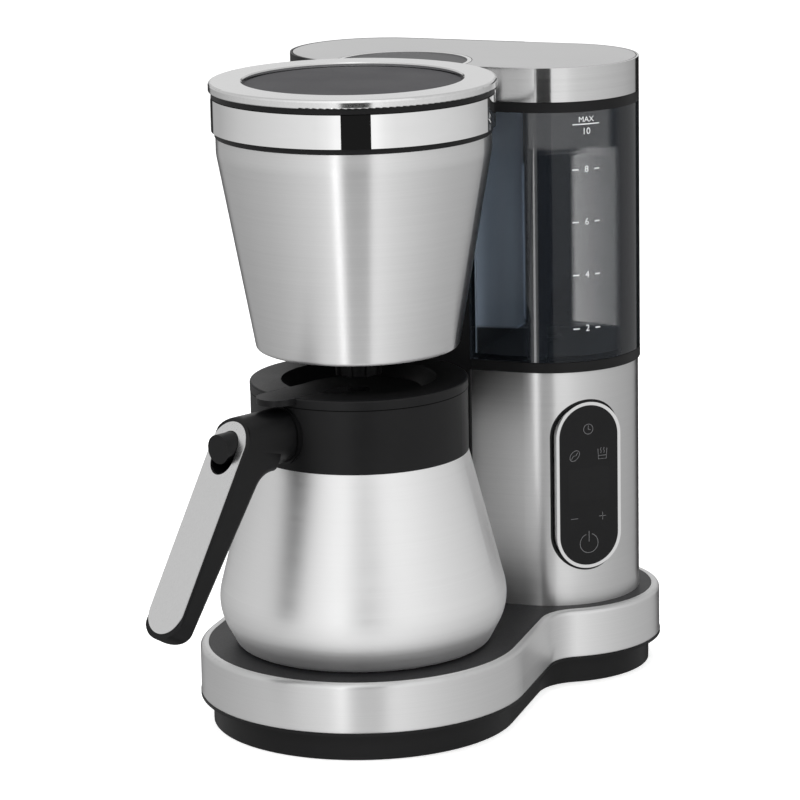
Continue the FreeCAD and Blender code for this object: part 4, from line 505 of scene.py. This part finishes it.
class Print:
    """Flat marks drawn in millimetres, then laid on a surface as one thin mesh."""

    def __init__(self):
        self.points = []
        self.faces = []

    def line(self, route, width, closed=False):
        """A stroke of one width along a route."""
        count = len(route)
        first = len(self.points)
        for index, (x, y) in enumerate(route):
            before = route[index - 1] if closed or index > 0 else route[index]
            after = route[(index + 1) % count] if closed or index < count - 1 else route[index]
            ahead = Vector((after[0] - before[0], after[1] - before[1])).normalized()
            self.points.append((x - ahead.y * width / 2, y + ahead.x * width / 2))
            self.points.append((x + ahead.y * width / 2, y - ahead.x * width / 2))
        for index in range(count if closed else count - 1):
            here = first + 2 * index
            there = first + 2 * ((index + 1) % count)
            self.faces.append((here + 1, there + 1, there, here))

    def arc(self, middle, radius, width, start=0.0, end=FULL_CIRCLE, tilt=0.0, squeeze=1.0):
        """A stroke along a circle, or along an oval that is squeezed and then tilted."""
        closed = end - start >= FULL_CIRCLE
        lean = math.radians(tilt)
        route = []
        for step in range(ARC_STEPS if closed else ARC_STEPS + 1):
            angle = math.radians(start + (end - start) * step / ARC_STEPS)
            x = radius * squeeze * math.cos(angle)
            y = radius * math.sin(angle)
            route.append((
                middle[0] + x * math.cos(lean) - y * math.sin(lean),
                middle[1] + x * math.sin(lean) + y * math.cos(lean),
            ))
        self.line(route, width, closed)

    def patch(self, left, low, right, high, columns=1):
        """A rectangle, in columns that can follow a round surface."""
        first = len(self.points)
        for column in range(columns + 1):
            x = left + (right - left) * column / columns
            self.points.append((x, low))
            self.points.append((x, high))
        for column in range(columns):
            here = first + 2 * column
            self.faces.append((here, here + 2, here + 3, here + 1))

    def words(self, text, size, middle):
        """Figures or letters about a middle point."""
        curve = bpy.data.curves.new("words", "FONT")
        curve.body = text
        curve.size = size
        curve.align_x = "CENTER"
        curve.align_y = "CENTER"
        holder = bpy.data.objects.new("words", curve)
        bpy.context.scene.collection.objects.link(holder)
        bpy.context.view_layer.update()
        mesh = bpy.data.meshes.new_from_object(holder)
        first = len(self.points)
        for vertex in mesh.vertices:
            self.points.append((middle[0] + vertex.co.x, middle[1] + vertex.co.y))
        for face in mesh.polygons:
            self.faces.append(tuple(first + corner for corner in face.vertices))
        bpy.data.objects.remove(holder)
        bpy.data.curves.remove(curve)
        bpy.data.meshes.remove(mesh)

    def lay(self, name, surface, shader, body):
        """Makes the piece, with every point moved on to the surface."""
        mesh = bpy.data.meshes.new(name)
        mesh.from_pydata([surface(*point) for point in self.points], [], self.faces)
        mesh.update()
        piece = bpy.data.objects.new(name, mesh)
        bpy.context.scene.collection.objects.link(piece)
        dress(piece, shader)
        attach(piece, body)


MAX_SIZE = 4.4
FIGURE_SIZE = 5.2
DASH_HALF = 0.35
LEFT_DASH = (-8.6, -4.9)
RIGHT_DASH = (4.9, 8.0)

scale = Print()
scale.words("MAX", MAX_SIZE, (0.0, 326.6))
scale.patch(-8.2, 323.75, 8.2, 324.35, 12)
scale.words("10", FIGURE_SIZE, (0.0, 319.9))
for number, height in (("8", 298.4), ("6", 268.5), ("4", 238.2), ("2", 207.3)):
    scale.words(number, FIGURE_SIZE, (0.0, height))
    for left, right in (LEFT_DASH, RIGHT_DASH):
        scale.patch(left, height - DASH_HALF, right, height + DASH_HALF, 4)
scale.lay("tank_scale", on_tank, mark_white, "tank")

SEAM_REACH = 179.0
SEAM_LOW = COLLAR_TOP - 0.55
SEAM_HIGH = COLLAR_TOP - 0.05

seam = Print()
seam.patch(-SEAM_REACH, SEAM_LOW, SEAM_REACH, SEAM_HIGH, 120)
seam.lay("collar_seam", on_collar, matt_black, "carafe")

THIN = 0.36
POWER_LINE = THIN * 1.1

icons = Print()
# Clock.
icons.arc((0.0, 148.5), 2.9, THIN)
icons.line([(0.0, 150.6), (0.0, 148.4), (1.4, 147.9)], THIN)
# Bean.
icons.arc((-8.6, 133.6), 3.5, THIN, tilt=-45.0, squeeze=0.68)
icons.line([(-10.6, 131.7), (-9.4, 133.5), (-7.8, 133.7), (-6.7, 135.4)], THIN)
# Cup with its level and two wisps of steam.
icons.line([(5.9, 136.4), (6.2, 130.3), (11.2, 130.3), (11.5, 136.4)], THIN)
icons.line([(6.4, 132.3), (11.0, 132.3)], THIN)
icons.line([(7.7, 133.6), (8.0, 134.8), (7.5, 135.8), (7.9, 136.9)], THIN)
icons.line([(9.6, 133.6), (9.9, 134.8), (9.4, 135.8), (9.8, 136.9)], THIN)
# Minus and plus.
icons.line([(-11.2, 96.5), (-6.8, 96.5)], THIN)
icons.line([(6.4, 96.6), (10.8, 96.6)], THIN)
icons.line([(8.6, 94.4), (8.6, 98.8)], THIN)
# Power.
icons.arc((0.0, 81.3), 5.6, POWER_LINE, 108.0, 432.0)
icons.line([(0.0, 82.2), (0.0, 88.4)], POWER_LINE)
icons.lay("panel_icons", on_panel, icon_grey, "machine")

window = Print()
window.patch(-13.0, 106.6, 13.0, 126.0)
window.lay("panel_window", on_panel, display_black, "machine")

# The tent's light by its share of the half turn away from the middle of its front.
TENT_TURN = math.radians(2.4)
WALL_LIGHT = (
    (0.0, 1.0), (0.09, 1.0), (0.13, 0.88), (0.18, 0.80), (0.30, 0.73),
    (0.43, 0.66), (0.59, 0.57), (0.76, 0.42), (1.0, 0.36),
)
LOW_LIGHT = ((0.0, 1.0), (0.12, 0.93), (0.33, 0.64), (0.52, 0.42), (0.76, 0.28), (1.0, 0.28))
HIGH_LIGHT = (
    (0.0, 1.0), (0.10, 0.97), (0.18, 0.88), (0.37, 0.69), (0.60, 0.54), (0.80, 0.49), (0.97, 0.63),
)
HIGH_LEVEL = 1.15
# Upward parts of a direction between which one light gives way to the next.
LOW_TO_WALL = (-0.50, -0.28)
WALL_TO_HIGH = (-0.05, 0.02)
# Turns, in radians, over which a dark flag begins and over which it ends, and where its top fades.
RIGHT_FLAG = ((2.47, 2.54), (2.93, 2.97))
LEFT_FLAG = ((-2.69, -2.76), (-2.93, -2.97))
FLAG_TOP = (0.12, 0.20)
FLAG_LEVEL = 0.04
AMBIENT = 0.55
WHITE = (1.0, 1.0, 1.0, 1.0)

FLOOR_REACH = 30.0
FLOOR_COLOUR = (0.80, 0.80, 0.80, 1.0)
FLOOR_GLOW = 0.62

# Corners of the cards, across and up in mm.
CARD_DISTANCE = 480.0 * MM
GAP_CARD = ((-74.0, -10.0), (114.0, -10.0), (114.0, 325.0), (-74.0, 325.0))
GAP_LEVEL = 0.012
STRIP_CARD = ((-144.0, 50.0), (-108.0, 50.0), (-112.0, 236.0), (-130.0, 236.0))
STRIP_LEVEL = 4.5


def lamp(name, place, aim, size, power):
    """A square soft lamp that reflections don't show."""
    light = bpy.data.lights.new(name, "AREA")
    light.shape = "RECTANGLE"
    light.size = size
    light.size_y = size
    light.energy = power
    holder = bpy.data.objects.new(name, light)
    holder.location = place
    holder.rotation_euler = (Vector(aim) - Vector(place)).to_track_quat("-Z", "Y").to_euler()
    holder.visible_glossy = False
    bpy.context.scene.collection.objects.link(holder)


class World(Tree):
    """The studio's surround, worked out from the direction that is looked in."""

    def __init__(self, name):
        self.world = bpy.data.worlds.new(name)
        self.world.use_nodes = True
        tree = self.world.node_tree
        super().__init__(tree, tree.nodes.new("ShaderNodeTexCoord").outputs["Generated"])

    def ramp(self, value, stops):
        node = self.add("ValToRGB")
        steps = node.color_ramp.elements
        while len(steps) < len(stops):
            steps.new(1.0)
        for step, (place, level) in zip(steps, stops):
            step.position = place
            step.color = (level, level, level, 1.0)
        self.join(value, node.inputs["Fac"])
        return node.outputs["Color"]


def studio_world():
    """White to the camera; reflections show a tent, paler in front, with two dark flags behind."""
    made = World("studio")
    bpy.context.scene.world = made.world
    turn = made.calculate("ARCTAN2", made.along(SIDE), made.along(-AWAY))
    off = made.calculate("ABSOLUTE", made.calculate("SUBTRACT", turn, TENT_TURN))
    round_about = made.span(off, 0.0, math.pi)
    height = made.along(UP)

    def flag(begins, ends):
        return made.times(made.span(turn, *begins), made.span(turn, *ends, 1.0, 0.0))

    wall = made.ramp(round_about, WALL_LIGHT)
    low = made.ramp(round_about, LOW_LIGHT)
    side = made.span(height, *LOW_TO_WALL, low, wall)
    high = made.times(made.ramp(round_about, HIGH_LIGHT), HIGH_LEVEL)
    tent = made.span(height, *WALL_TO_HIGH, side, high)
    both_flags = made.calculate("ADD", flag(*RIGHT_FLAG), flag(*LEFT_FLAG))
    flags = made.times(both_flags, made.span(height, *FLAG_TOP, 1.0, 0.0))
    seen_round = made.times(tent, made.choose(flags, 1.0, FLAG_LEVEL))
    path = made.add("LightPath").outputs
    plain = made.calculate("MAXIMUM", path["Is Camera Ray"], path["Is Transmission Ray"])
    ambient = made.choose(path["Is Glossy Ray"], AMBIENT, seen_round)
    surround = made.tree.nodes["Background"]
    surround.inputs["Color"].default_value = WHITE
    made.join(made.choose(plain, ambient, 1.0), surround.inputs["Strength"])


def bare_material(name):
    """A new material with no nodes, and its tree."""
    material = bpy.data.materials.new(name)
    material.use_nodes = True
    material.node_tree.nodes.clear()
    return material, Tree(material.node_tree)


def stage_plane(name, corners, material):
    """A four-cornered plane of the studio."""
    mesh = bpy.data.meshes.new(name)
    mesh.from_pydata(corners, [], [(0, 1, 2, 3)])
    mesh.materials.append(material)
    holder = bpy.data.objects.new(name, mesh)
    bpy.context.scene.collection.objects.link(holder)
    return holder


def studio_floor():
    """A pale floor that glows to the camera and keeps the object's shadow; reflections don't show it."""
    material, made = bare_material("floor")
    path = made.add("LightPath").outputs
    shown = made.calculate("MAXIMUM", path["Is Camera Ray"], path["Is Glossy Ray"])
    shown = made.calculate("MAXIMUM", shown, path["Is Transmission Ray"])
    matte = made.add("BsdfDiffuse")
    matte.inputs["Color"].default_value = FLOOR_COLOUR
    glow = made.add("Emission")
    made.join(made.times(shown, FLOOR_GLOW), glow.inputs["Strength"])
    both = made.add("AddShader")
    made.join(matte.outputs["BSDF"], both.inputs[0])
    made.join(glow.outputs["Emission"], both.inputs[1])
    made.join(both.outputs["Shader"], made.add("OutputMaterial").inputs["Surface"])
    near, far = -FLOOR_REACH, FLOOR_REACH
    corners = [(near, near, 0.0), (far, near, 0.0), (far, far, 0.0), (near, far, 0.0)]
    floor = stage_plane("floor", corners, material)
    floor.visible_glossy = False


def card(name, corners, level):
    """An upright card before the object that only reflections show."""
    material, made = bare_material(name)
    glow = made.add("Emission")
    glow.inputs["Strength"].default_value = level
    made.join(glow.outputs["Emission"], made.add("OutputMaterial").inputs["Surface"])
    start = BREW - AWAY * CARD_DISTANCE
    places = [start + SIDE * (x * MM) + UP * (z * MM) for x, z in corners]
    holder = stage_plane(name, places, material)
    holder.visible_camera = False
    holder.visible_diffuse = False
    holder.visible_transmission = False
    holder.visible_shadow = False


def studio_camera():
    """The camera at the photograph's viewing angle."""
    data = bpy.data.cameras.new("camera")
    data.lens = CAMERA_LENS
    data.sensor_width = CAMERA_SENSOR
    data.clip_start = CAMERA_NEAR
    data.clip_end = CAMERA_FAR
    camera = bpy.data.objects.new("camera", data)
    ahead = AWAY * math.cos(CAMERA_PITCH) - UP * math.sin(CAMERA_PITCH)
    lift = AWAY * math.sin(CAMERA_PITCH) + UP * math.cos(CAMERA_PITCH)
    across = SIDE * math.cos(CAMERA_ROLL) + lift * math.sin(CAMERA_ROLL)
    upward = lift * math.cos(CAMERA_ROLL) - SIDE * math.sin(CAMERA_ROLL)
    turn = Matrix((across, upward, -ahead)).transposed()
    camera.matrix_world = Matrix.Translation(CAMERA_PLACE) @ turn.to_4x4()
    bpy.context.scene.collection.objects.link(camera)
    bpy.context.scene.camera = camera


studio_world()
studio_floor()
card("gap_card", GAP_CARD, GAP_LEVEL)
card("strip_card", STRIP_CARD, STRIP_LEVEL)
studio_camera()
lamp("key_lamp", (-1.3, -1.5, 1.7), (0.0, 0.0, 0.15), 1.4, 26.0)
lamp("fill_lamp", (1.6, -1.2, 1.3), (0.0, 0.0, 0.15), 1.2, 16.0)
lamp("top_lamp", (0.1, 0.4, 2.1), (0.0, 0.0, 0.1), 1.6, 22.0)
bpy.context.scene.view_settings.view_transform = "Standard"
